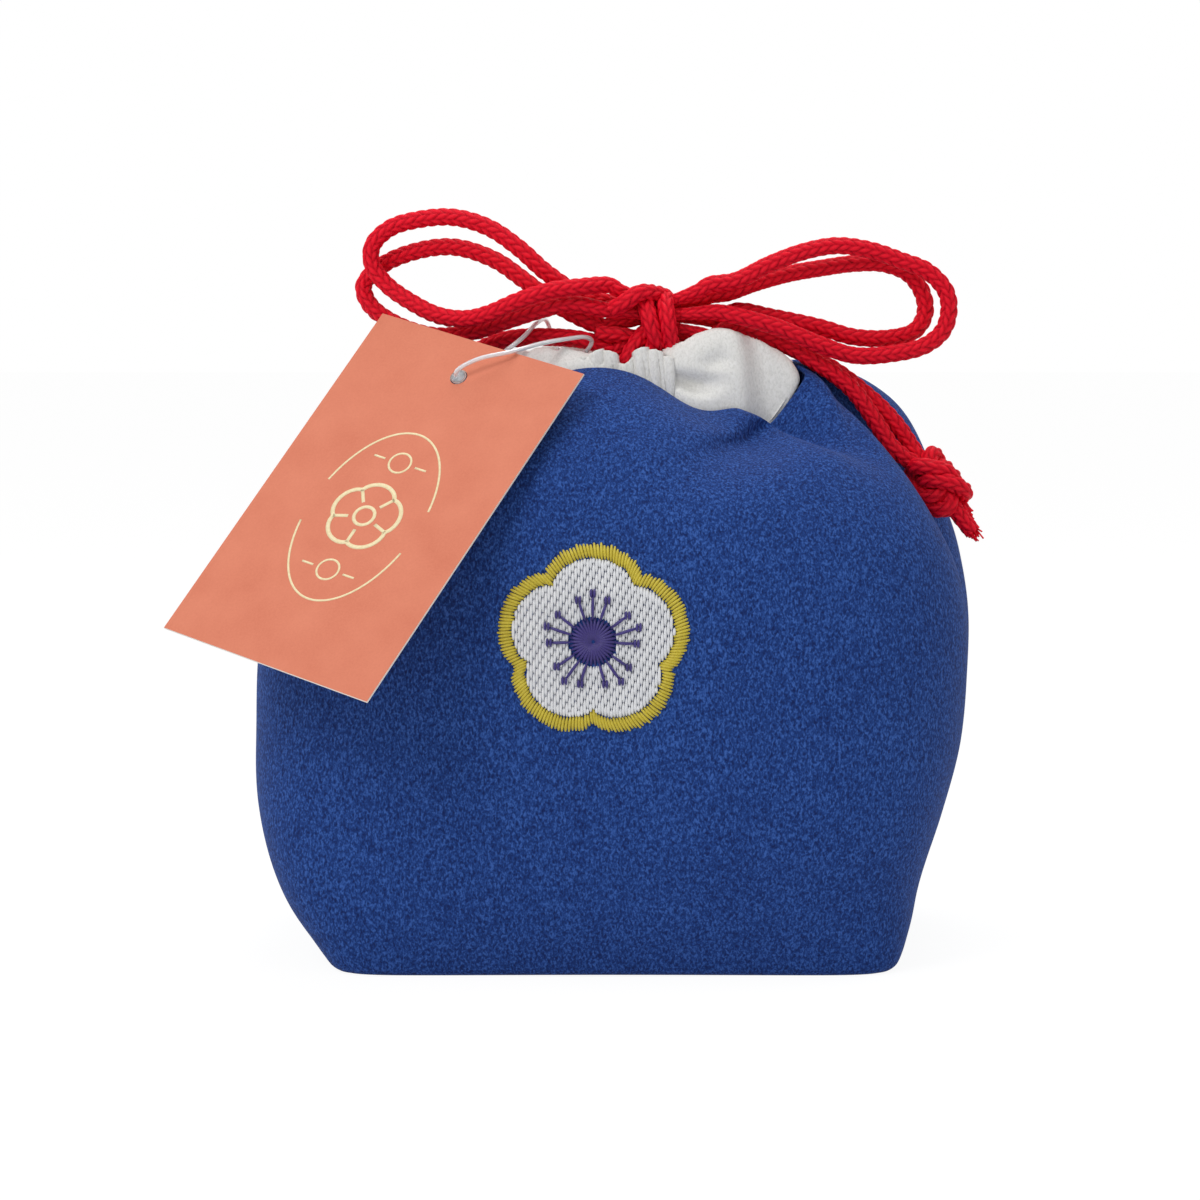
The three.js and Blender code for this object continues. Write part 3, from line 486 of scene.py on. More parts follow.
# %% [markdown]
# The wall of the bag is described by a table of outlines, from a boxy base through the belly to the narrow
# mouth. Folds push the wall in and out, and the rim dips where the drawcord pulls it down. The same tables
# shape the frame's solids, so the fine cloth lies where they are.

# %% Wall tables
BASE_WIDTH, BASE_DEPTH = 125, 88
BELLY_WIDTH, BELLY_DEPTH, BELLY_HEIGHT = 163, 108, 72
MOUTH_WIDTH, MOUTH_DEPTH = 80, 39
SHELL_THICKNESS = 1
SEAM_PLACE = 1.5
SEAM_FADE = 20
SEAM_PULL = 8
BASE_SEAM_SHARE = 0.97
OUTLINE_STEPS = 320
# Shares of the change in height, width and depth from one outline to the next, and how square the wall is.
LOWER_WALL_SHARES = [
    (0, 0, 0, 12), (0.08, 0.2, 0.2, 8), (0.2, 0.44, 0.45, 5.6), (0.45, 0.76, 0.78, 4.2),
    (0.7, 0.94, 0.95, 3.4), (1, 1, 1, 3),
]
UPPER_WALL_SHARES = [
    (0.26, 0.06, 0.04, 2.9), (0.46, 0.16, 0.14, 2.8), (0.66, 0.3, 0.3, 2.6), (0.8, 0.44, 0.48, 2.5),
    (0.9, 0.6, 0.66, 2.4), (0.965, 0.78, 0.85, 2.3), (1, 1, 1, 2.2),
]
BASE = (0, BASE_WIDTH, BASE_DEPTH)
BELLY = (BELLY_HEIGHT, BELLY_WIDTH, BELLY_DEPTH)
MOUTH = (RIM_HEIGHT, MOUTH_WIDTH, MOUTH_DEPTH)
WALL_STATIONS = [
    (lerp(low[0], high[0], height), lerp(low[1], high[1], width) / 2,
     lerp(low[2], high[2], depth) / 2, square)
    for low, high, shares in ((BASE, BELLY, LOWER_WALL_SHARES), (BELLY, MOUTH, UPPER_WALL_SHARES))
    for height, width, depth, square in shares
]

# Each fold's turn and spread in degrees, its share of the fold depth, and where it starts and is full. A
# slanting fold has the turn at the rim, and the degrees by which it would drift down the whole wall.
FOLD_DEPTH = 8
FOLD_SHARES = [
    (0, 6, -0.25, 0.1, 0.3), (0, 12, -1.35, 0.25, 0.65), (180, 6, -0.25, 0.1, 0.3),
    (180, 12, -1.35, 0.25, 0.65), (0, 12, 0.75, 0.86, 1), (180, 12, 0.45, 0.86, 1),
    (-12, 10, -0.8, 0.47, 0.7), (-12, 10, 0.65, 0.8, 1), (-27, 11, -1.5, 0.6, 0.8, -120),
    (-27, 11, 1.1, 0.82, 0.98, -120), (-15, 10, 0.6, 0.66, 0.9, -95), (31, 13, 0.85, 0.55, 0.8),
    (-75, 9, -0.2, 0.8, 1), (-125, 20, 0.63, 0.45, 0.65), (-158, 15, -0.85, 0.47, 0.7),
    (125, 12, -0.5, 0.6, 0.95), (85, 9, -0.35, 0.7, 1), (55, 11, -0.45, 0.65, 0.95),
]
# Each dip's turn and spread in degrees, and its share of the dip depth.
DIP_DEPTH = 12
DIP_START_SHARE, DIP_FULL_SHARE = 0.55, 0.9
DIP_SHARES = [(-55, 25, 0.85), (-28, 11, 0.9), (-146, 24, 0.75), (88, 36, 0.3)]


def bell(distance, width):
    return np.exp(-((distance / width) ** 2))


def turn_at(side, across):
    """Degrees round the mouth: 0 at its right end, a half turn at its left, and below 0 in front."""
    return side * HALF_TURN * (1 - across)


def degrees_apart(a, b):
    return (a - b + HALF_TURN) % (2 * HALF_TURN) - HALF_TURN


def outline(up, across):
    """Places on the half outline at a height share, and the directions out of it."""
    height, half_width, half_depth, square = read_table(WALL_STATIONS, np.array(up, float))
    angle = np.pi * (1 - np.linspace(0, 1, OUTLINE_STEPS + 1))
    c, s = np.cos(angle), np.abs(np.sin(angle))
    radius = (np.abs(c / half_width) ** square + (s / half_depth) ** square) ** (-1 / square)
    fine = np.stack([radius * c, radius * s], axis=-1)
    places = distances(fine)
    x, y = read_line(fine, places, across * places[-1]).T
    out_x = np.sign(x) * np.abs(x / half_width) ** (square - 1) / half_width
    out_y = np.abs(y / half_depth) ** (square - 1) / half_depth
    size = np.hypot(out_x, out_y)
    return height, x, y, out_x / size, out_y / size


def seam_at(height):
    return SEAM_PLACE * (1 - smoothstep(height, 0, SEAM_FADE))


def keep_to_side(points, side):
    """Points that would cross the seam, moved back to their own side of it."""
    edge = seam_at(points[..., 2]) + side * CLEARANCE / 2
    keep = np.minimum if side == FRONT else np.maximum
    points[..., 1] = keep(points[..., 1], edge)
    return points


def wall_row(side, across, up):
    height, x, y, out_x, out_y = outline(up, across)
    turn = turn_at(side, across)
    reach = sum(FOLD_DEPTH * share * bell(degrees_apart(turn, at + sum(drift) * (1 - up)), spread)
                * smoothstep(up, start, full) for at, spread, share, start, full, *drift in FOLD_SHARES)
    drop = sum(DIP_DEPTH * share * bell(degrees_apart(turn, at), spread)
               for at, spread, share in DIP_SHARES)
    z = height - drop * smoothstep(up, DIP_START_SHARE, DIP_FULL_SHARE)
    along = side * (y + out_y * reach)
    along = along + seam_at(z) * (1 - smoothstep(np.abs(along), 0, SEAM_PULL))
    return np.stack([x + out_x * reach, along, z], axis=-1)


def panel_row(side, across, up):
    """A row of the panel: below zero, up runs across the base from the seam at -1 to the base edge at 0."""
    if up >= 0:
        return keep_to_side(wall_row(side, across, up), side)
    edge = wall_row(side, across, 0)
    x = (2 * across - 1) * (BASE_WIDTH / 2 * BASE_SEAM_SHARE)
    seam = np.stack([x, np.full_like(x, SEAM_PLACE), np.zeros_like(x)], -1)
    return keep_to_side(seam + (edge - seam) * (1 + up), side)


# %% [markdown]
# The frame's panel has thirty columns of flat quads; the cloth gets many more. The columns crowd towards
# the seams, where the wall turns most sharply. Real cloth can't fold to a knife edge at the base, so its
# rows run round a small curve there. The lining ends hidden under the casing band.

# %% Cloth panels
SEAM_CROWDING = 0.6
PANEL_COLUMNS, BASE_ROWS, WALL_ROWS = 180, 40, 150
BASE_ROUNDING = 1.8
LINING_THICKNESS, LINING_GAP = 0.6, 0.6
LINING_TOP = 0.86
LINING_STEP = 2


def panel_across(columns):
    share = np.linspace(0, 1, columns + 1)
    return lerp(share, (1 - np.cos(np.pi * share)) / 2, SEAM_CROWDING)


def panel_faces(side, columns, base_rows, wall_rows, top=1):
    """A function that gives the panel's face at any depth under the bag's outer face."""
    ups = np.concatenate([np.linspace(-1, 0, base_rows, endpoint=False), np.linspace(0, top, wall_rows + 1)])
    grid = np.stack([panel_row(side, panel_across(columns), up) for up in ups])
    normals = grid_normals(grid) * -side
    normals[ups < 0] = (0, 0, -1)
    edge = normals[ups == 0]
    edge[..., 2] = 0
    edge = unit(edge)
    edge[..., 2] = -1
    normals[ups == 0] = edge
    return lambda depth: keep_to_side(grid - depth * normals, side)


def rounded_base(grid):
    """The sheet with a quarter of a circle in place of its sharp edge at the floor."""
    under = np.clip(BASE_ROUNDING - grid[..., 2], 0, BASE_ROUNDING)
    drawn_in = BASE_ROUNDING - np.sqrt(BASE_ROUNDING**2 - under**2)
    share = 1 - drawn_in / np.linalg.norm(grid[..., :2] + MM, axis=-1)
    return grid * np.stack([share, share, np.ones_like(share)], axis=-1)


def add_cloth(name, outer, inner, material, replaces=()):
    """A sheet between two grids, closed round its border, riding on the pouch's body."""
    points, faces = closed_sheet(outer, inner)
    piece = add_mesh(name, points, faces, material, "pouch", replaces)
    return piece


def add_panel(name, side, depth, thickness, material, replaces, step=1, top=1):
    """A panel at a depth under the bag's face, of every row and column or of every second one."""
    face = panel_faces(side, PANEL_COLUMNS, BASE_ROWS, WALL_ROWS, top)
    outer, inner = (settle(rounded_base(face(d)))[::step, ::step] for d in (depth, depth + thickness))
    return add_cloth(name, outer, inner, material, [replaces])


panels = {}
for place, side in (("front", FRONT), ("back", BACK)):
    panels[place] = add_panel(f"{place}_crepe", side, 0, SHELL_THICKNESS, blue_crepe,
                              f"outer_{place}_panel")
    add_panel(f"{place}_lining", side, SHELL_THICKNESS + LINING_GAP, LINING_THICKNESS, white_crepe,
              f"lining_{place}_panel", LINING_STEP, LINING_TOP)

# %% [markdown]
# The white casing band puffs out of the mouth. It comes up inside the rim, swells over it and turns down
# into the throat, and the drawcord inside gathers it, so it ripples. It has a gap for the cord's ends.

# %% White casing band
BAND_THICKNESS = 0.9
BAND_FOOT = 1.5
RIM_SHARE, FOOT_SHARE = 0.965, 0.95
BAND_GAPS = 1.6
BAND_DEPTH = SHELL_THICKNESS + BAND_GAPS * CLEARANCE
THROAT_LIP, THROAT_BOTTOM = 126, 113
SLOPE_DROP = 7
CREST_HEIGHT = 134
THROAT_SHARE, SLOPE_SHARE, CREST_SHARE = 0.26, 0.68, 0.8
SLOPE_SMOOTH_SHARE, CREST_SMOOTH_SHARE = 0.5, 0.25
PUFF_HEIGHT = 7
PUFF_SHARES = [(-44, 28, 1), (-124, 30, 0.35), (190, 30, 0.1), (120, 30, 0.45), (60, 26, 0.5)]
BULGE_SHARE, BULGE_RISE_SHARE = 0.4, 0.72
GATHER_COUNT = 9
GATHER_DEPTH_SHARE = 0.03
EXIT_PLACE, EXIT_WIDTH = 0.6, 12
PANEL_PLACES = 30
LEFT_EXIT_COLUMN, RIGHT_EXIT_COLUMN = 14, 17
BAND_STATIONS = 110
BAND_POINTS = 60
RIM_COLUMNS = 240
# Creases in the puffs: where round the mouth and how far down the puff they run, their spreads, and depths.
CREASES = [(-61, 9, 0.17, 0.035, 4.2), (-50, 7, 0.26, 0.035, 1.1), (-78, 7, 0.2, 0.06, 1.2),
           (-140, 26, 0.2, 0.05, 1.2), (60, 30, 0.24, 0.06, 1.4), (125, 30, 0.24, 0.06, 1.4)]
# Fine waves in the puffs: phase, how many go round, and depth. They fade in down the band and drift with it.
GATHERS = [(1, 23, 0.35), (2, 41, 0.22)]
WAVE_START_SHARE, WAVE_FULL_SHARE, WAVE_DRIFT = 0.12, 0.3, 2
DOME_PLACE, DOME_SPREAD = -44, 30


def band_grid(end):
    exit_point = np.array([EXIT_PLACE + end * EXIT_WIDTH / 2, 0, 0])
    first, last = (RIGHT_EXIT_COLUMN, PANEL_PLACES) if end == RIGHT else (LEFT_EXIT_COLUMN, 0)
    columns = np.linspace(first, last, BAND_STATIONS + 1)
    across = np.interp(columns, np.arange(PANEL_PLACES + 1), panel_across(PANEL_PLACES))
    front, back = (read_line(panel_faces(side, RIM_COLUMNS, 2, WALL_ROWS)(BAND_DEPTH)[-1],
                             panel_across(RIM_COLUMNS), across) for side in (FRONT, BACK))
    sides = [FRONT] * (BAND_STATIONS + 1) + [BACK] * BAND_STATIONS
    shares = [*across, *across[-2::-1]]
    rim = np.vstack([front[:-1], (front[-1:] + back[-1:]) / 2, back[-2::-1]])
    lines = []
    for side, share, face in zip(sides, shares, rim):
        edge = exit_point + (face - exit_point) * RIM_SHARE
        edge[2] = face[2]
        turn = turn_at(side, share)
        _, x, y, _, _ = outline(1, np.array([share]))
        smooth = np.array([x[0], side * y[0], 0])
        crest = CREST_HEIGHT + PUFF_HEIGHT * sum(k * bell(degrees_apart(turn, at), spread)
                                                 for at, spread, k in PUFF_SHARES)
        ripple = 1 + GATHER_DEPTH_SHARE * math.sin(GATHER_COUNT * math.radians(turn))

        def inside(reach, height, smoothness):
            around = edge + (smooth - edge) * smoothness
            point = around + (exit_point - around) * (1 - reach * ripple)
            point[2] = height
            return point

        top = inside(CREST_SHARE, crest, CREST_SMOOTH_SHARE)
        bulge = edge + (top - edge) * BULGE_SHARE
        bulge[2] = lerp(edge[2], crest, BULGE_RISE_SHARE)
        foot = exit_point + (edge - exit_point) * FOOT_SHARE
        foot[2] = edge[2] - BAND_FOOT
        slope = inside(SLOPE_SHARE, crest - SLOPE_DROP, SLOPE_SMOOTH_SHARE)
        throat = [inside(THROAT_SHARE, height, 1) for height in (THROAT_LIP, THROAT_BOTTOM)]
        path = smooth_path([foot, edge, bulge, top, slope, *throat])
        lines.append(split_path(path, BAND_POINTS))
    grid = np.stack(lines)
    turns = np.array([turn_at(side, share) for side, share in zip(sides, shares)])[:, None]
    down = np.linspace(0, 1, BAND_POINTS + 1)[None]
    sunk = sum(depth * bell(degrees_apart(turns, at), spread) * bell(down - place, width)
               for at, spread, place, width, depth in CREASES)
    waves = sum(depth * np.sin(count * np.radians(turns) + phase + WAVE_DRIFT * down)
                for phase, count, depth in GATHERS)
    waves = waves * smoothstep(down, WAVE_START_SHARE, WAVE_FULL_SHARE)
    waves = waves * (1 - bell(degrees_apart(turns, DOME_PLACE), DOME_SPREAD))
    return grid - (sunk + waves)[..., None] * grid_normals(grid) * -end


for place, end in (("left", LEFT), ("right", RIGHT)):
    grid = band_grid(end)
    inner = grid - BAND_THICKNESS * (grid_normals(grid) * -end)
    add_cloth(f"{place}_casing", settle(grid), settle(inner), white_crepe,
              [f"mouth_band_{place}"])

# %% [markdown]
# In front of the rising cords the casing's hem is crushed into small peaks. They are a narrow strip of the
# same cloth that stands between the rim and the cords. A like strip closes the gap behind them: it comes
# over the rim's crest and turns down into the throat.

# %% Crushed hem
HEM_LEFT, HEM_RIGHT, HEM_BOTTOM, HEM_TOP = -7.5, 13, 124, 134.6
HEM_DEPTH, HEM_THICKNESS = -17.4, 0.7
HEM_COLUMNS, HEM_ROWS = 70, 24
HEM_CURL, CURL_POWER = 0.8, 3
# Peaks: place, spread and height. Ripples: depth, rate across, and drift from the strip's foot to its top.
HEM_PEAKS = [(-3, 2, 1.8), (-0.4, 1, 1), (6.4, 2.3, 2.2), (9.6, 1.4, 1.2), (2.2, 1.6, -1.8)]
HEM_RIPPLES = [(0.5, 1.9, 0), (0.3, 3.7, 5)]
BACK_HEM_LEFT, BACK_HEM_RIGHT, BACK_HEM_STEP = -1, 14.5, 0.7
BACK_HEM_LINE = [(0, 16.2, 126.5), (0, 15.6, 130.5), (0, 14.2, 133), (0, 13, 130.5), (0, 12.6, 124),
                 (0, 12.6, 116)]
BACK_HEM_PEAKS = [(2.6, 1.6, 1.4), (6.2, 1.3, 0.9), (9.8, 1.7, 1.5)]
BACK_HEM_RIPPLES = [(0.4, 1.9, 0)]


def peaks_at(x, peaks):
    return sum(height * bell(x - at, spread) for at, spread, height in peaks)


def ripples_at(x, up, ripples):
    return sum(depth * np.sin(rate * x + drift * up) for depth, rate, drift in ripples)


def add_hem(name, grid, way):
    """A strip of casing cloth, with its thickness to one side of a grid."""
    add_cloth(name, grid, grid + way * HEM_THICKNESS * grid_normals(grid), white_crepe)


x, up = np.meshgrid(np.linspace(HEM_LEFT, HEM_RIGHT, HEM_COLUMNS), np.linspace(0, 1, HEM_ROWS))
y = HEM_DEPTH + ripples_at(x, up, HEM_RIPPLES) + HEM_CURL * up**CURL_POWER
add_hem("crushed_hem", np.stack([x, y, lerp(HEM_BOTTOM, HEM_TOP + peaks_at(x, HEM_PEAKS), up)], axis=-1), 1)

line = even_path(smooth_path(BACK_HEM_LINE), BACK_HEM_STEP)
x = np.linspace(BACK_HEM_LEFT, BACK_HEM_RIGHT, HEM_COLUMNS)
above = smoothstep(line[:, 2:], BACK_HEM_LINE[0][2], BACK_HEM_LINE[2][2])
y = line[:, 1:2] + ripples_at(x, 0, BACK_HEM_RIPPLES) * above
z = line[:, 2:] + peaks_at(x, BACK_HEM_PEAKS) * above
add_hem("crushed_back_hem", np.stack([x + 0 * above, y, z], axis=-1), -1)

# %% [markdown]
# The drawcord is a round braid of plump yarns, and each yarn shows as a slanting stitch like a grain of
# rice. Eight columns of such stitches run along the cord, leaning left and right by turns, which makes its V
# pattern. They are real geometry: every ring of points follows the height of the stitches there. Two values
# go with each point: how high it lies, for the colour, which is painted shade deep between the stitches and
# a painted highlight on their backs, and its place across the stitch, for its filaments.

# %% Braid
BRAID_COLUMNS, COLUMN_SIDES = 8, 5
BRAID_SIDES = BRAID_COLUMNS * COLUMN_SIDES
BRAID_STEP = 0.32
STITCH_PITCH, STITCH_SLANT = 2.4, 0.7
CORE_RADIUS, STITCH_HEIGHT = 1.42, 0.6
STITCH_TAPER, TAPER_POWER = 0.6, 3
NEARLY_ALONG = 0.9


def path_frames(path):
    """Two directions across a path at each of its points, that don't spin round it."""
    along = unit(np.gradient(path, axis=0))
    first = np.array([0, -1.0, 0]) if abs(along[0, 1]) < NEARLY_ALONG else np.array([0, 0, 1.0])
    across = [unit(first - along[0] * (first @ along[0]))]
    for direction in along[1:]:
        across.append(unit(across[-1] - direction * (across[-1] @ direction)))
    across = np.array(across)
    return across, np.cross(along, across)


def braid_relief(distance):
    """Height of the stitches, 0 to 1, and the place across them, at each step and side."""
    side = np.arange(BRAID_SIDES)
    column = side // COLUMN_SIDES
    x = (2 * (side % COLUMN_SIDES) + 1) / COLUMN_SIDES - 1
    lean = np.where(column % 2 == 0, 1, -1)
    stitch = distance[:, None] / STITCH_PITCH + STITCH_SLANT * lean * x / 2 + (column % 2) / 2
    grain = 2 * (stitch % 1) - 1
    height = np.sqrt(np.clip(1 - grain**2, 0, 1)) * (1 - STITCH_TAPER * np.abs(x) ** TAPER_POWER)
    return height, stitch


def tube(path, radii, values=None):
    """Points, faces and values of a closed tube: a ring of radii round each point of a path."""
    rings, sides = radii.shape
    across, up = path_frames(path)
    side = np.arange(sides)
    angle = side * TURN / sides
    ring = across[:, None] * np.cos(angle)[:, None] + up[:, None] * np.sin(angle)[:, None]
    points = path[:, None] + ring * radii[..., None]
    after = (side + 1) % sides
    last = (rings - 1) * sides
    caps = [(rings * sides, a, b) for a, b in zip(after, side)]
    caps += [(rings * sides + 1, a, b) for a, b in zip(side + last, after + last)]
    faces = [*grid_faces(rings, sides, closed=True)[:, ::-1].tolist(), *caps]
    return np.vstack([points.reshape(-1, 3), path[:1], path[-1:]]), faces, values or {}


def braid(path, girth=None):
    """A braided cord along a path; girth shares pinch it."""
    path = even_path(path, BRAID_STEP)
    distance = np.linspace(0, path_length(path), len(path))
    height, stitch = braid_relief(distance)
    radii = CORE_RADIUS + STITCH_HEIGHT * height
    if girth:
        radii = radii * girth(distance)[:, None]
    ends = [0, 0]
    return tube(path, radii, {"relief": np.concatenate([height.ravel(), ends]),
                              "yarn": np.concatenate([stitch.ravel(), ends])})


def add_parts(name, parts, material, body, replaces=()):
    """One piece from several parts, each with its own points, faces and values."""
    points, faces, values, first = [], [], {}, 0
    for part_points, part_faces, part_values in parts:
        points.append(part_points)
        faces += [[corner + first for corner in face] for face in part_faces]
        first += len(part_points)
        for key, value in part_values.items():
            values.setdefault(key, []).append(value)
    values = {key: np.concatenate(value) for key, value in values.items()}
    return add_mesh(name, np.vstack(points), faces, material, body, replaces, values)


# %% [markdown]
# The yarn is bright red rayon. Its colour follows the stitch height: deep between the stitches it is painted
# darker, as shade, and on their backs painted lighter, as a highlight. The filaments there shine a little,
# so the roughness is lower than the crepe's.

# %% Braid finish
FILAMENTS = 5
FUZZ, YARN_RELIEF = 0.35, 0.1
# Reds by stitch height: painted shade in the hollows, the yarn's own red, and a painted highlight on the
# backs.
RED_PAINTED_SHADE_TO_HIGHLIGHT = [(0.15, 150, 0, 22), (0.5, 210, 0, 32), (0.85, 244, 18, 44)]
PAINTED_SHADE_SHARE, FILAMENT_SHARE, FUZZ_SHARE = 0.74, 0.06, 0.2
FILAMENT_RELIEF_SHARE = 0.3
red = Finish("red_braid")
filaments = (red.attribute("yarn") * (FILAMENTS * TURN)).sine() * 0.5 + 0.5
fuzz = red.noise(FUZZ)
# The stitch height's share of the colour is painted shade and highlight; filaments and fuzz are the yarn's
# own texture.
shade = red.attribute("relief") * PAINTED_SHADE_SHARE + filaments * FILAMENT_SHARE + fuzz * FUZZ_SHARE
relief = filaments * FILAMENT_RELIEF_SHARE + fuzz * (1 - FILAMENT_RELIEF_SHARE)
red_braid = red.surface(Base_Color=red.ramp(shade, RED_PAINTED_SHADE_TO_HIGHLIGHT), Roughness=0.55, Specular_IOR_Level=0.15,
                        Normal=red.bump(relief, YARN_RELIEF))

# %% [markdown]
# In the middle of the bow six strands pass through, and a tight wrap of the same cord binds them. It comes
# in over the strands from the left and goes one and a half times round, so it shows twice in front, and its
# turns draw together below. Under it the strands are squeezed thin. The loops belong to bodies that lift,
# so each strand is cut under the wrap.

# %% Bow knot
STRAND_CUT_SHARE = 0.46
PINCH = 0.72
WRAP_RADIUS, WRAP_DEPTH_RADIUS = 6.4, 6.7
WRAP_SPACING, WRAP_SLANT, WRAP_DROP = 4.5, 4, 2.2
NARROWING = 0.35
TUCK_SHARE, TUCK_ANGLE = 0.3, 0.8
# The wrap from the knot's centre: it comes in, its angle runs from the top to the front, under and up behind
# in half turns, and it goes out.
WRAP_START = [(-10.5, -5.2, 1.2), (-7.6, -6.6, 3), (-4.4, -6.4, 5)]
WRAP_FROM, WRAP_MIDDLE, WRAP_TO, WRAP_STEPS = 0.08, 1.5, 3.05, 36
WRAP_END = [(-8, -0.5, -4.8), (-14.5, -1, -4.3)]


def strand_point(name, share):
    """A place on a strand between the knot's middle, 0, and its port, 1."""
    (depth, above), *_ = PORTS[name]
    return lerp(KNOT_CENTRE + np.array([0, depth, above]), port_point(name, KNOT_REACH), share)


def strand_start(name):
    return [strand_point(name, STRAND_CUT_SHARE), strand_point(name, (1 + STRAND_CUT_SHARE) / 2)]


def pinched(distance):
    """Girth shares that squeeze a cord where it goes into the knot."""
    return lerp(PINCH, 1, smoothstep(distance, 0, KNOT_REACH))


def pinched_twice(distance):
    return pinched(np.minimum(distance, distance[-1] - distance))


def through_strand(left, right):
    shares = (STRAND_CUT_SHARE - MM, STRAND_CUT_SHARE / 2)
    path = [*[strand_point(left, share) for share in shares], strand_point(left, 0),
            *[strand_point(right, share) for share in shares[::-1]]]
    return braid(smooth_path(path), lambda distance: np.full_like(distance, PINCH))


angle = np.linspace(WRAP_FROM, WRAP_TO, WRAP_STEPS) * math.pi
turns_left = (WRAP_MIDDLE * math.pi - angle) / TURN
below = (1 - np.cos(angle)) / 2
tuck = 1 - TUCK_SHARE * smoothstep(angle, angle[-1] - TUCK_ANGLE, angle[-1])
wrap = np.stack([
    WRAP_SPACING * turns_left * (1 - NARROWING * below) - WRAP_SLANT * np.cos(angle) / 2,
    -WRAP_DEPTH_RADIUS * tuck * np.sin(angle), WRAP_RADIUS * tuck * np.cos(angle) - WRAP_DROP], axis=-1)
wrap_path = smooth_path(KNOT_CENTRE + np.vstack([WRAP_START, wrap, WRAP_END]))
strands = [through_strand(left[0], right[0]) for _, left, right in STRANDS]
add_parts("bow_binding", [*strands, braid(wrap_path)], red_braid, "pouch", ["bow_knot"])

# %% [markdown]
# Each loop is one stretch of cord from the knot round and back to it. The knot holds the loop's ends still,
# so beside the knot each loop blends from the bag's body to the one that lifts.


def add_cord(name, route, girth, replaces, far_end, **more):
    """A braided cord along a route, with its girth, printed with its length; far_end, what its far end is,
    is not used.
    """
    path = smooth_path(route)
    piece = add_parts(name, [braid(path, girth)], red_braid, None, replaces)
    print(f"{name}: {path_length(path):.0f} mm")
    return piece


for name, (start, end, middle) in LOOPS.items():
    side = name.split("_")[0]
    route = [*strand_start(start), *lead(start), *middle, *lead(end)[::-1], *strand_start(end)[::-1]]
    loop = add_cord(name.replace("loop", "bow_loop"), route, pinched_twice, [name], "object")
    outwards = np.array([LEFT if side == "left" else RIGHT, 0, 0])
    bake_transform(loop)

# %% [markdown]
# The tails run from the knot over the mouth's end and hang down beside the bag. Each pair ends in one
# overhand knot. The cord bends at its root when the tail is lifted. Past the knot, short frayed ends stick
# out.

# %% Tails and end knots
TAIL_BLEND = 4
KNOT_LOBE, KNOT_LOBE_WAVE = 3.1, 1.5
KNOT_STRETCH = 3.9
KNOT_STEPS = 60
LOBES, WINDS = 3, 2
STRAND_SHIFTS = (-1.9, 1.9)
INTO_KNOT_SHARE = 0.35
# Each cord end's shift beside the knot's line, and how far it stops short of the tip.
CORD_ENDS = [((0, -1.4, -1), 3), ((0, 1.2, 1), 5)]
FRAY_COUNT, FRAY_SIDES = 34, 5
FRAY_LENGTH, FRAY_SHORT_SHARE, FRAY_ROOT = 2.4, 0.5, 2
FRAY_RADIUS, FRAY_SPREAD, FRAY_SCATTER, FRAY_BEND = 0.2, 0.16, 0.7, 0.2
FRAY_POINTS_APART = 6
SEED = 7


def knot_path(start, direction, shift):
    """A trefoil drawn out along the cord, which an overhand knot is."""
    up = unit(np.cross(direction, [0, -1, 0]))
    depth = np.cross(up, direction)
    turn = np.linspace(0, TURN, KNOT_STEPS, endpoint=False)[:, None]
    radius = KNOT_LOBE + KNOT_LOBE_WAVE * np.cos(LOBES * turn)
    along = END_KNOT_LENGTH / 2 + KNOT_STRETCH * np.sin(LOBES * turn) + shift
    loop = (start + direction * along + up * (radius * np.cos(WINDS * turn))
            + depth * (radius * np.sin(WINDS * turn)))
    return smooth_path([*loop, loop[0]])


def fray(tip, direction, rng):
    """Loose filaments at the cut end of a cord."""
    parts = []
    for _ in range(FRAY_COUNT):
        heading = rng.normal(0, FRAY_SPREAD, 3) + direction
        start = tip + rng.normal(0, FRAY_SCATTER, 3)
        heading = unit(heading)
        bend = rng.normal(0, FRAY_BEND, 3)
        length = FRAY_LENGTH * rng.uniform(FRAY_SHORT_SHARE, 1)
        path = smooth_path([start - heading * FRAY_ROOT, start + heading * length / 2,
                            start + heading * length + bend])[::FRAY_POINTS_APART]
        radii = np.full((len(path), FRAY_SIDES), FRAY_RADIUS)
        # Full stitch height gives the loose filaments the lightest red, the painted highlight.
        raised = np.ones(radii.size + 2)
        parts.append(tube(path, radii, {"relief": raised, "yarn": raised}))
    return parts


rng = np.random.default_rng(SEED)
for side in ("right", "left"):
    placed = (lambda points: np.array(points, float)) if side == "right" else mirrored
    start, tip = placed([END_KNOT_START, CORD_END_TIP])
    direction = unit(tip - start)
    ends = [smooth_path([start + direction * END_KNOT_LENGTH / 2 + shift, tip - direction * back + shift])
            for shift, back in CORD_ENDS]
    knot = [knot_path(start, direction, shift) for shift in STRAND_SHIFTS]
    frays = [part for end in ends for part in fray(end[-1] - direction, direction, rng)]
    knotted = add_parts(f"{side}_overhand_knot", [*[braid(path) for path in knot + ends], *frays],
                        red_braid, f"{side}_tail", [f"{side}_end_knot", f"{side}_cord_end"])
    for where, tail in TAILS.items():
        port, root = f"{side}Tail{where.title()}", f"{side}_root_{where}"
        into = start + direction * END_KNOT_LENGTH * INTO_KNOT_SHARE
        route = [*strand_start(port), *lead(port), *ROOTS[root], *placed(tail), into]
        piece = add_cord(f"{side}_tail_cord_{where}", route, pinched, [root, f"{side}_tail_{where}"], "knot",
                         with_pieces=[knotted] if where == "front" else [])
        hinge = np.array(ROOTS[root][-1], float)
        heading = unit(placed(tail)[0] - hinge)
        metres(hinge - heading * TAIL_BLEND)
        metres(hinge + heading * TAIL_BLEND)
        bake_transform(piece)

# %% [markdown]
# Inside the casing the two drawcords run round the mouth, and their ends rise to the knot.

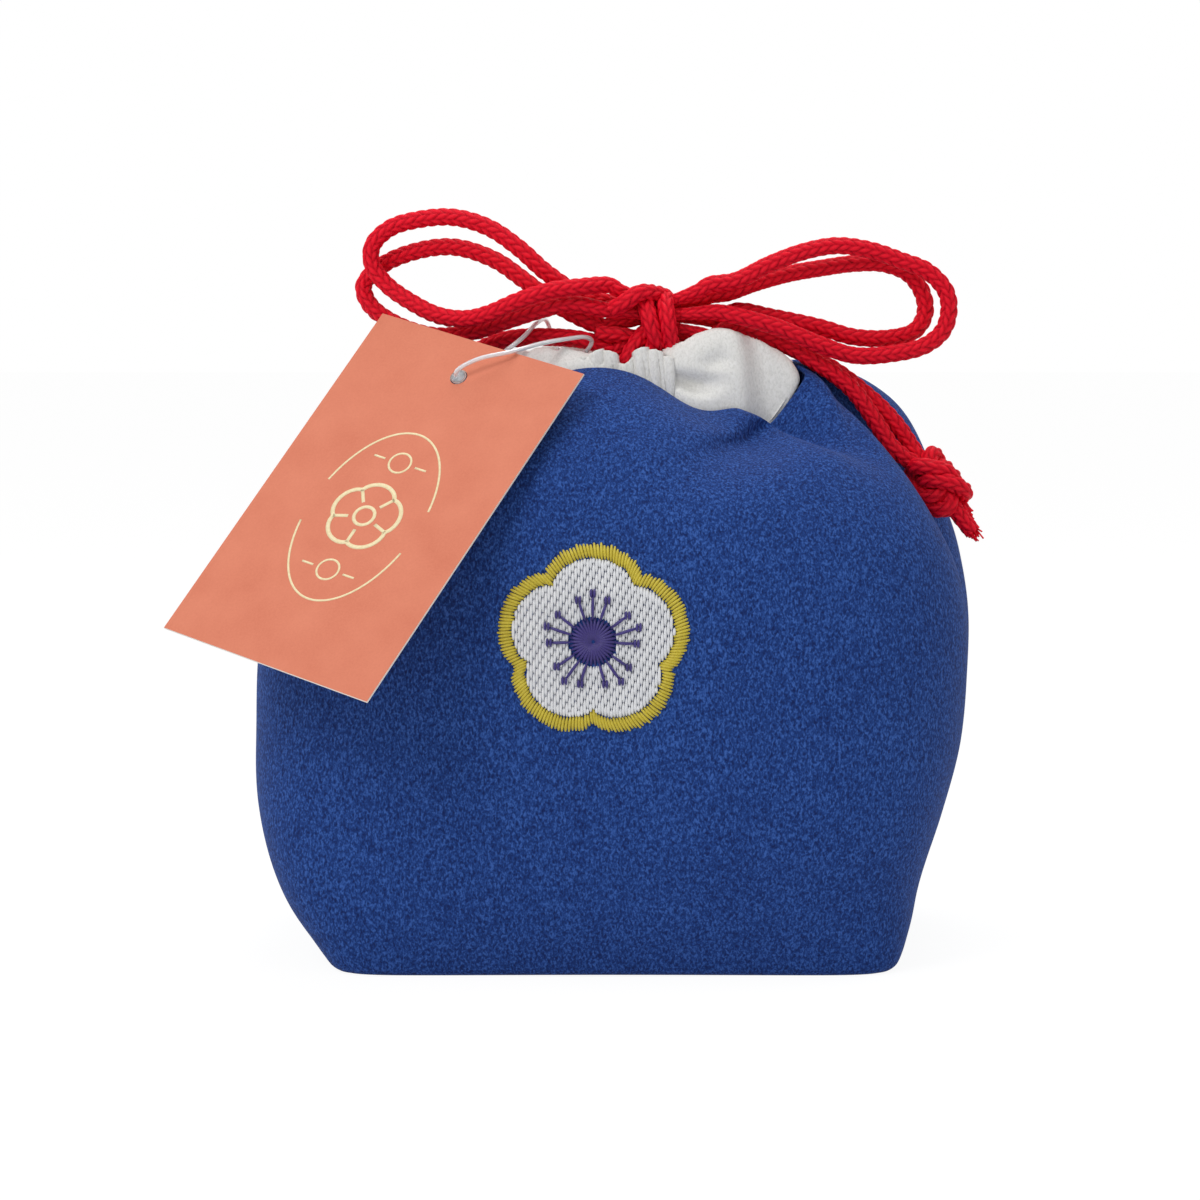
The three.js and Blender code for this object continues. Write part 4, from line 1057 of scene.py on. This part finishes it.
# %% Drawcord in the casing
RING_SHARE = 0.5
RING_OPENING = 0.32
RING_POINTS = 20
RISES = {
    "front": (FRONT, 122, [(1.2, -13, 126), (1.8, -13.7, 131), (4.2, -13.6, 136.4), (7.4, -11.6, 140.6)],
              [(6.1, -13, 126), (6.5, -13.7, 131), (8.6, -13.6, 136.4), (10.8, -11.6, 140.6)]),
    "back": (BACK, 117,
             [(2.2, 7.4, 116.8), (2.8, 4.2, 119.2), (2.8, 3.8, 124.5), (2.9, 2.2, 130), (4.8, -2, 133.4),
              (6.8, -3.4, 136), (8.6, -5.6, 140)],
             [(7.8, 7.2, 116.8), (7.4, 4.2, 119.2), (7.4, 3.8, 124.5), (7.6, 2.2, 130), (9.6, -2, 133.4),
              (11.4, -3.4, 136), (12, -5.6, 140)]),
}
for where, (side, height, left_rise, right_rise) in RISES.items():
    half_width, half_depth = RING_SHARE * MOUTH_WIDTH / 2, RING_SHARE * MOUTH_DEPTH / 2
    middle = side * (math.pi / 2 - math.asin(EXIT_PLACE / half_width))
    angle = middle + lerp(RING_OPENING, TURN - RING_OPENING, np.linspace(0, 1, RING_POINTS + 1))
    ring = settle(np.stack([half_width * np.cos(angle), half_depth * np.sin(angle),
                            np.full_like(angle, height)], -1))
    if ring[0, 0] < ring[-1, 0]:
        ring = ring[::-1]
    add_parts(f"{where}_drawcord", [braid(smooth_path([*right_rise[::-1], *ring, *left_rise]))],
              red_braid, "pouch", [f"drawcord_{where}"])

# %% [markdown]
# Machine embroidery is rows of straight stitches that lie on the cloth. A plain plum blossom, a common
# lucky motif, has a satin-stitch edge, petals filled with upright stitches in a brick pattern, and a dark
# centre with stamens. Every stitch is a small thread of its own, laid on the front cloth by casting a ray
# at it.

# %% Embroidery threads
BLOSSOM_DIAMETER = 42
BLOSSOM_HEIGHT = 75
BLOSSOM_PLACE = -0.5
PETALS = 5
PETAL_DEPTH_SHARE, PETAL_ROUNDNESS = 0.16, 0.6
BORDER_WIDTH = 3.2
THREAD_RADIUS, THREAD_SIDES, THREAD_LIFT = 0.36, 6, 0.1
FIBRE, FIBRE_SHARE, FIBRE_RELIEF = 0.2, 0.6, 0.06
THREAD_CLOUD = 4


def thread_finish(name, dark, light):
    finish = Finish(name)
    fibre = finish.noise(FIBRE)
    shade = fibre * FIBRE_SHARE + finish.noise(THREAD_CLOUD) * (1 - FIBRE_SHARE)
    return finish.surface(Base_Color=finish.ramp(shade, [(0.3, *dark), (0.65, *light)]), Roughness=0.45,
                          Sheen_Weight=0.15, Normal=finish.bump(fibre, FIBRE_RELIEF))


mustard_thread = thread_finish("mustard_thread", (178, 158, 34), (216, 198, 58))
white_thread = thread_finish("white_thread", (214, 216, 221), (240, 241, 243))
indigo_thread = thread_finish("indigo_thread", (36, 24, 92), (58, 44, 128))

cloth = bmesh.new()
cloth.from_mesh(panels["front"].data)
front_cloth = BVHTree.FromBMesh(cloth)
centre_place = settle(np.array([BLOSSOM_PLACE, -BELLY_DEPTH / 2, BLOSSOM_HEIGHT]))


def on_cloth(u, v, lift):
    """The point on the front cloth that lies u across and v up from the blossom's middle."""
    x, z = centre_place[0] + u, centre_place[2] + v
    hit, normal, _, _ = front_cloth.ray_cast(Vector(metres((x, -2 * BELLY_DEPTH, z))), Vector((0, 1, 0)))
    normal = normal if normal.y < 0 else -normal
    return np.array(hit + normal * lift * MM) / MM


# A stitch at places along it: how high it lies, and how thick it is.
LIE_SHARES = [0, 0.08, 0.3, 0.7, 0.92, 1]
RISE_SHARES = [-1, 0.2, 1, 1, 0.2, -1]
GIRTH_SHARES = [0.4, 0.72, 1, 1, 0.72, 0.4]


def stitch(start, end, radius=THREAD_RADIUS, lift=THREAD_LIFT):
    """One thread from hole to hole: it comes up, lies on the cloth and goes down."""
    start, end = np.array(start), np.array(end)
    path = np.array([on_cloth(*(start + (end - start) * share), lift + radius * rise)
                     for share, rise in zip(LIE_SHARES, RISE_SHARES)])
    return tube(path, np.outer(GIRTH_SHARES, np.full(THREAD_SIDES, radius)))


def blossom_radius(angle, radius):
    wave = abs(math.sin(PETALS * (angle - math.pi / 2) / 2 + math.pi / 2))
    return radius * (1 - PETAL_DEPTH_SHARE + PETAL_DEPTH_SHARE * wave**PETAL_ROUNDNESS)


def polar(radius, angle):
    return radius * math.cos(angle), radius * math.sin(angle)


def blossom_edge(angle):
    return blossom_radius(angle, BLOSSOM_DIAMETER / 2)


BORDER_STITCHES = 172
STITCH_LEAN = 0.03
BORDER_SLIP = 0.3
border = []
for angle in TURN * np.arange(BORDER_STITCHES) / BORDER_STITCHES:
    inner_slip, outer_slip = rng.uniform(-BORDER_SLIP, BORDER_SLIP, 2)
    border.append(stitch(polar(blossom_edge(angle) - BORDER_WIDTH + inner_slip, angle),
                         polar(blossom_edge(angle + STITCH_LEAN) + outer_slip, angle + STITCH_LEAN)))
add_parts("blossom_edge", border, mustard_thread, "pouch", ["blossom_border"])

# %% Petals and centre
CENTRE_SHARE = 0.25
CENTRE_RADIUS = CENTRE_SHARE * BLOSSOM_DIAMETER / 2
ROW_SPACING = 0.64
STITCH_LENGTH = 3.2
ROW_SHIFT = 0.37
SHORTEST_STITCH = 1
FINE_STEPS = 400
reach = BLOSSOM_DIAMETER / 2
petals = []
for k, u in enumerate(np.arange(-reach, reach, ROW_SPACING)):
    v = np.linspace(-reach, reach, FINE_STEPS)
    radius, angle = np.hypot(u, v), np.arctan2(v, u)
    edge = np.array([blossom_edge(a) for a in angle]) - BORDER_WIDTH
    inside = (radius < edge) & (radius > CENTRE_RADIUS)
    changes = np.flatnonzero(np.diff(np.concatenate([[0], inside.astype(int), [0]])))
    for first, last in zip(changes[::2], changes[1::2]):
        low, high = v[first], v[last - 1]
        cuts = np.arange(math.floor(low / STITCH_LENGTH), high / STITCH_LENGTH + 1) * STITCH_LENGTH
        cuts = cuts + (k * ROW_SHIFT % 1) * STITCH_LENGTH
        places = [low, *[cut for cut in cuts if low + SHORTEST_STITCH < cut < high - SHORTEST_STITCH], high]
        petals += [stitch((u, a), (u, b)) for a, b in zip(places, places[1:]) if b - a > THREAD_RADIUS]
add_parts("blossom_petal_fill", petals, white_thread, "pouch", ["blossom_petals"])

CENTRE_STITCHES = 34
STAMENS, STAMEN_SPREAD = 3, 0.34
STAMEN_LENGTH, MIDDLE_STAMEN_SHARE = 3.8, 1.25
STAMEN_LIFT = THREAD_LIFT + 2 * THREAD_RADIUS
HALF_ANTHER = 0.8
stamens = [stitch(polar(THREAD_RADIUS, angle), polar(CENTRE_RADIUS, angle))
           for angle in TURN * np.arange(CENTRE_STITCHES) / CENTRE_STITCHES]
for petal in range(PETALS):
    for place in range(STAMENS):
        angle = math.pi / 2 + TURN * petal / PETALS + STAMEN_SPREAD * (place - 1)
        reach = CENTRE_RADIUS + STAMEN_LENGTH * (MIDDLE_STAMEN_SHARE if place == 1 else 1)
        stamens.append(stitch(polar(CENTRE_RADIUS - THREAD_RADIUS, angle), polar(reach, angle),
                              lift=STAMEN_LIFT))
        u, v = polar(reach + THREAD_RADIUS, angle)
        for x in (u - THREAD_RADIUS, u + THREAD_RADIUS):
            stamens.append(stitch((x, v - HALF_ANTHER), (x, v + HALF_ANTHER), lift=STAMEN_LIFT))
add_parts("blossom_stamens", stamens, indigo_thread, "pouch", ["blossom_centre"])
cloth.free()

# %% [markdown]
# The tag is plain card, so the frame's own solid stays and only gets a paper finish: fibres, a hint of
# mottling, and pale cut edges, which are where the surface doesn't face the card's own way. Its print is
# pale ink: thin flat ribbons just proud of the card, an oval and a plain rosette.

# %% Card tag
TAG_THICKNESS = 0.5
TAG_HOLE = np.array([-34.3, -25.888, 130.4])
TAG_RIGHT = unit(np.array([0.8256, -0.5177, -0.2244]))
TAG_UP = unit(np.array([0.4949, 0.4734, 0.7287]))
TAG_FACE = np.cross(TAG_RIGHT, TAG_UP)
PAPER_FIBRE, PAPER_CLOUD, PAPER_RELIEF = 0.5, 9, 0.02
FIBRES_SHARE, FACE_LIMIT = 0.5, 0.5
SALMONS = [(0.3, 212, 122, 95), (0.7, 224, 136, 108)]
PALE_EDGE = colour(244, 236, 228)

paper = Finish("salmon_card")
fibres = paper.noise(PAPER_FIBRE, detail=4, roughness=0.7)
mottle = fibres * FIBRES_SHARE + paper.noise(PAPER_CLOUD) * (1 - FIBRES_SHARE)
card = bpy.data.objects["hang_tag"]
card_face = card.matrix_world.to_3x3().inverted() @ Vector(TAG_FACE)
across_card = paper.node("ShaderNodeVectorMath", {"operation": "DOT_PRODUCT"}, {
    0: paper.node("ShaderNodeTexCoord", output="Normal"), 1: tuple(card_face)}, output="Value")
on_face = across_card.maths("GREATER_THAN", across_card * across_card, FACE_LIMIT)
salmon_card = paper.surface(
    Base_Color=paper.mixed(on_face, PALE_EDGE, paper.ramp(mottle, SALMONS)),
    Roughness=0.8, Specular_IOR_Level=0.3, Normal=paper.bump(fibres, PAPER_RELIEF))
card.data.materials.clear()
card.data.materials.append(salmon_card)

# %% Printed card
INK_HEIGHT = 0.03
INK_CLOUD = 0.6
CREAMS = [(0.3, 236, 216, 168), (0.7, 246, 232, 190)]
PRINT_CENTRE = np.array([0, -40.0])
ROSETTE_RADIUS, ROSETTE_STEPS, ROSETTE_LINE = 8.5, 90, 1.0
EYE_RADIUS, SPOKE_FROM, SPOKE_TO, SPOKE_LINE = 2.4, 3.8, 7.4, 0.8
OVAL_RADIUS, OVAL_SHARE, OVAL_STARTS, OVAL_SWEEP = 14, 1.65, (0.08, 1.08), 0.84
BUD_PLACE, BUD_RADIUS, DASH_FROM, DASH_TO, INK_LINE = 15, 2.6, 4, 7, 0.5
LINE_POINTS = 4

ink = Finish("cream_ink")
cream_ink = ink.surface(Base_Color=ink.ramp(ink.noise(INK_CLOUD), CREAMS), Roughness=0.6)


def on_card(x, y, lift=0):
    """A point on the card's face, x across and y up from its hole."""
    return TAG_HOLE + TAG_RIGHT * x + TAG_UP * y + TAG_FACE * (TAG_THICKNESS / 2 + lift)


def printed_line(line, width, closed=False):
    """A flat ribbon of ink along a line on the card."""
    line = np.array(line, float)
    ahead = np.roll(line, -1, axis=0) - np.roll(line, 1, axis=0) if closed else np.gradient(line, axis=0)
    ahead = unit(ahead)
    across = np.stack([-ahead[:, 1], ahead[:, 0]], -1) * width / 2
    section = [(1, 0), (1, INK_HEIGHT), (-1, INK_HEIGHT), (-1, 0)]
    points = [on_card(*(p + q * side), lift) for p, q in zip(line, across) for side, lift in section]
    corners = list(range(len(section)))
    last = len(points) - len(section)
    faces = grid_faces(len(line), len(section), closed=True).tolist()
    if closed:
        faces += [[last + k, last + after, after, k] for k, after in zip(corners, corners[1:] + corners[:1])]
    else:
        faces += [corners, [last + k for k in corners[::-1]]]
    return np.array(points), faces, {}


def arc(centre, radius, first, last, steps=48):
    angle = np.linspace(first, last, steps)
    return np.stack([centre[0] + radius * np.cos(angle), centre[1] + radius * np.sin(angle)], -1)


def circle(centre, radius):
    return arc(centre, radius, 0, TURN)[:-1]


angles = np.linspace(0, TURN, ROSETTE_STEPS, endpoint=False)
rosette = [PRINT_CENTRE + polar(blossom_radius(angle, ROSETTE_RADIUS), angle) for angle in angles]
prints = [printed_line(rosette, ROSETTE_LINE, closed=True),
          printed_line(circle(PRINT_CENTRE, EYE_RADIUS), SPOKE_LINE, closed=True)]
for petal in range(PETALS):
    angle = math.pi / 2 + TURN * (petal + 1 / 2) / PETALS
    spoke = [PRINT_CENTRE + polar(r, angle) for r in np.linspace(SPOKE_FROM, SPOKE_TO, LINE_POINTS)]
    prints.append(printed_line(spoke, SPOKE_LINE))
for start in OVAL_STARTS:
    oval = arc((0, 0), OVAL_RADIUS, start * math.pi, (start + OVAL_SWEEP) * math.pi) * (1, OVAL_SHARE)
    prints.append(printed_line(PRINT_CENTRE + oval, INK_LINE))
for place in (-BUD_PLACE, BUD_PLACE):
    prints.append(printed_line(circle(PRINT_CENTRE + (0, place), BUD_RADIUS), INK_LINE, closed=True))
    for side in (LEFT, RIGHT):
        row = PRINT_CENTRE[1] + place
        dash = [(side * x, row) for x in np.linspace(DASH_FROM, DASH_TO, LINE_POINTS)]
        prints.append(printed_line(dash, INK_LINE))
add_parts("card_print", prints, cream_ink, "tag")

# %% [markdown]
# The fastener is a clear plastic thread with a small lock head behind the card and a flat pad in its hole.
# It goes round the left tails. Plastic this thin looks milky, so it lets through less than half of the
# light.

# %% Clear fastener
FASTENER, FASTENER_SIDES = 1, 12
FASTENER_HEAD_PLACE = -4.5
FASTENER_HEAD_LENGTH, FASTENER_HEAD_WIDTH = 5, 3
HEAD_BEVEL, HEAD_ROUNDNESS, HEAD_STEPS = 0.7, 0.6, 3
PAD_RADIUS, PAD_THICKNESS, PAD_SIDES = 1.8, 0.6, 24
PAD_SHARES = [0.9, 1, 1, 0.9]
MILK_CLOUD = 4
MILKS = [(0.3, 226, 230, 234), (0.7, 240, 243, 246)]
FASTENER_POINTS = [
    (-30.5, -28.4, 134.4), (-22.6, -27.4, 136.2), (-16, -21, 137.8), (-10.6, -16.4, 138.6),
    (-6.4, -14, 138.9), (-5, -12.6, 138), (-6, -12.3, 136), (-8.6, -8, 134.6), (-11.6, -2.6, 134.9),
    (-13.8, 1.8, 138), (-15.4, -0.4, 142.2), (-17.4, -6.2, 141.9), (-20.4, -10.4, 138.8),
    (-25.6, -14.6, 134.8), (-30.4, -18.6, 130.6),
]


def through_tag(distance):
    return TAG_HOLE + TAG_FACE * distance


plastic = Finish("clear_plastic")
clear_plastic = plastic.surface(Base_Color=plastic.ramp(plastic.noise(MILK_CLOUD), MILKS), Roughness=0.3,
                                IOR=1.49, Transmission_Weight=0.4)
head = bmesh.new()
bmesh.ops.create_cube(head, size=1)
bmesh.ops.scale(head, vec=(FASTENER_HEAD_LENGTH, FASTENER_HEAD_WIDTH, FASTENER_HEAD_WIDTH), verts=head.verts)
bmesh.ops.bevel(head, geom=list(head.edges), offset=HEAD_BEVEL, segments=HEAD_STEPS, affect="EDGES",
                profile=HEAD_ROUNDNESS)
head_points = np.array([vertex.co[:] for vertex in head.verts]) + through_tag(FASTENER_HEAD_PLACE)
head_faces = [[vertex.index for vertex in face.verts] for face in head.faces]
head.free()
head_place, behind, before = (
    through_tag(place) for place in (FASTENER_HEAD_PLACE, -2 * FASTENER, 2 * FASTENER))
thread = even_path(smooth_path([head_place, behind, before, *FASTENER_POINTS, head_place]), FASTENER / 2)
pad = np.array([through_tag(distance) for distance in np.linspace(0, PAD_THICKNESS, len(PAD_SHARES))])
add_parts("clear_fastener", [
    (head_points, head_faces, {}), tube(thread, np.full((len(thread), FASTENER_SIDES), FASTENER / 2)),
    tube(pad, PAD_RADIUS * np.outer(PAD_SHARES, np.ones(PAD_SIDES)))],
    clear_plastic, "tag_loop", ["tag_fastener"])

# %% [markdown]
# The photograph has a pure white ground. Here the floor and the world are white where the camera, or a
# reflection, looks straight at them, and plain grey light for everything else, so the pouch keeps its
# shading.

# %% Floor, world and lights
FLOOR_SIZE = 6000
FLOOR_SHADE = colour(246, 246, 246)
FLOOR_GLOW_SHARE, FLOOR_GLOW = 0.85, 1.08
AMBIENT = 0.5
PURE_WHITE = (1, 1, 1, 1)
# Each light's place, its size and its watts.
LIGHTS = {"window": ((-500, -600, 700), 500, 3.2), "top": ((100, 100, 900), 600, 2.6)}
bpy.context.scene.view_settings.view_transform = "Standard"
floor_mesh = bpy.data.meshes.new("floor")
half = FLOOR_SIZE * MM / 2
corners = [(-half, -half, 0), (half, -half, 0), (half, half, 0), (-half, half, 0)]
floor_mesh.from_pydata(corners, [], [(0, 1, 2, 3)])
floor = add_object("floor", floor_mesh)


def looked_at(finish):
    """One where the camera, or a reflection or clear plastic, looks straight at a surface; else zero."""
    camera_ray, glossy, through = (finish.node("ShaderNodeLightPath", output=f"Is {kind} Ray")
                                   for kind in ("Camera", "Glossy", "Transmission"))
    return camera_ray.larger(glossy).larger(through)


ground = Finish("floor")
matt = ground.node("ShaderNodeBsdfDiffuse", inputs={"Color": FLOOR_SHADE})
glow = ground.node("ShaderNodeEmission", inputs={"Color": PURE_WHITE, "Strength": FLOOR_GLOW})
floor_mesh.materials.append(ground.ends_with(ground.node(
    "ShaderNodeMixShader", inputs={0: looked_at(ground) * FLOOR_GLOW_SHARE, 1: matt, 2: glow})))

room = Finish("white_room", "worlds")
ambient, backdrop = (room.node("ShaderNodeBackground", inputs={"Color": PURE_WHITE, "Strength": strength})
                     for strength in (AMBIENT, 1))
mixed = room.node("ShaderNodeMixShader", inputs={0: looked_at(room), 1: ambient, 2: backdrop})
bpy.context.scene.world = room.ends_with(mixed, "ShaderNodeOutputWorld")

for name, (place, width, watts) in LIGHTS.items():
    data = bpy.data.lights.new(name, "AREA")
    data.shape = "DISK"
    data.size = width * MM
    data.energy = watts
    lamp = add_object(name, data)
    lamp.location = metres(place)
    aim = Vector(metres(CAMERA_TARGET)) - lamp.location
    lamp.rotation_euler = aim.to_track_quat("-Z", "Y").to_euler()
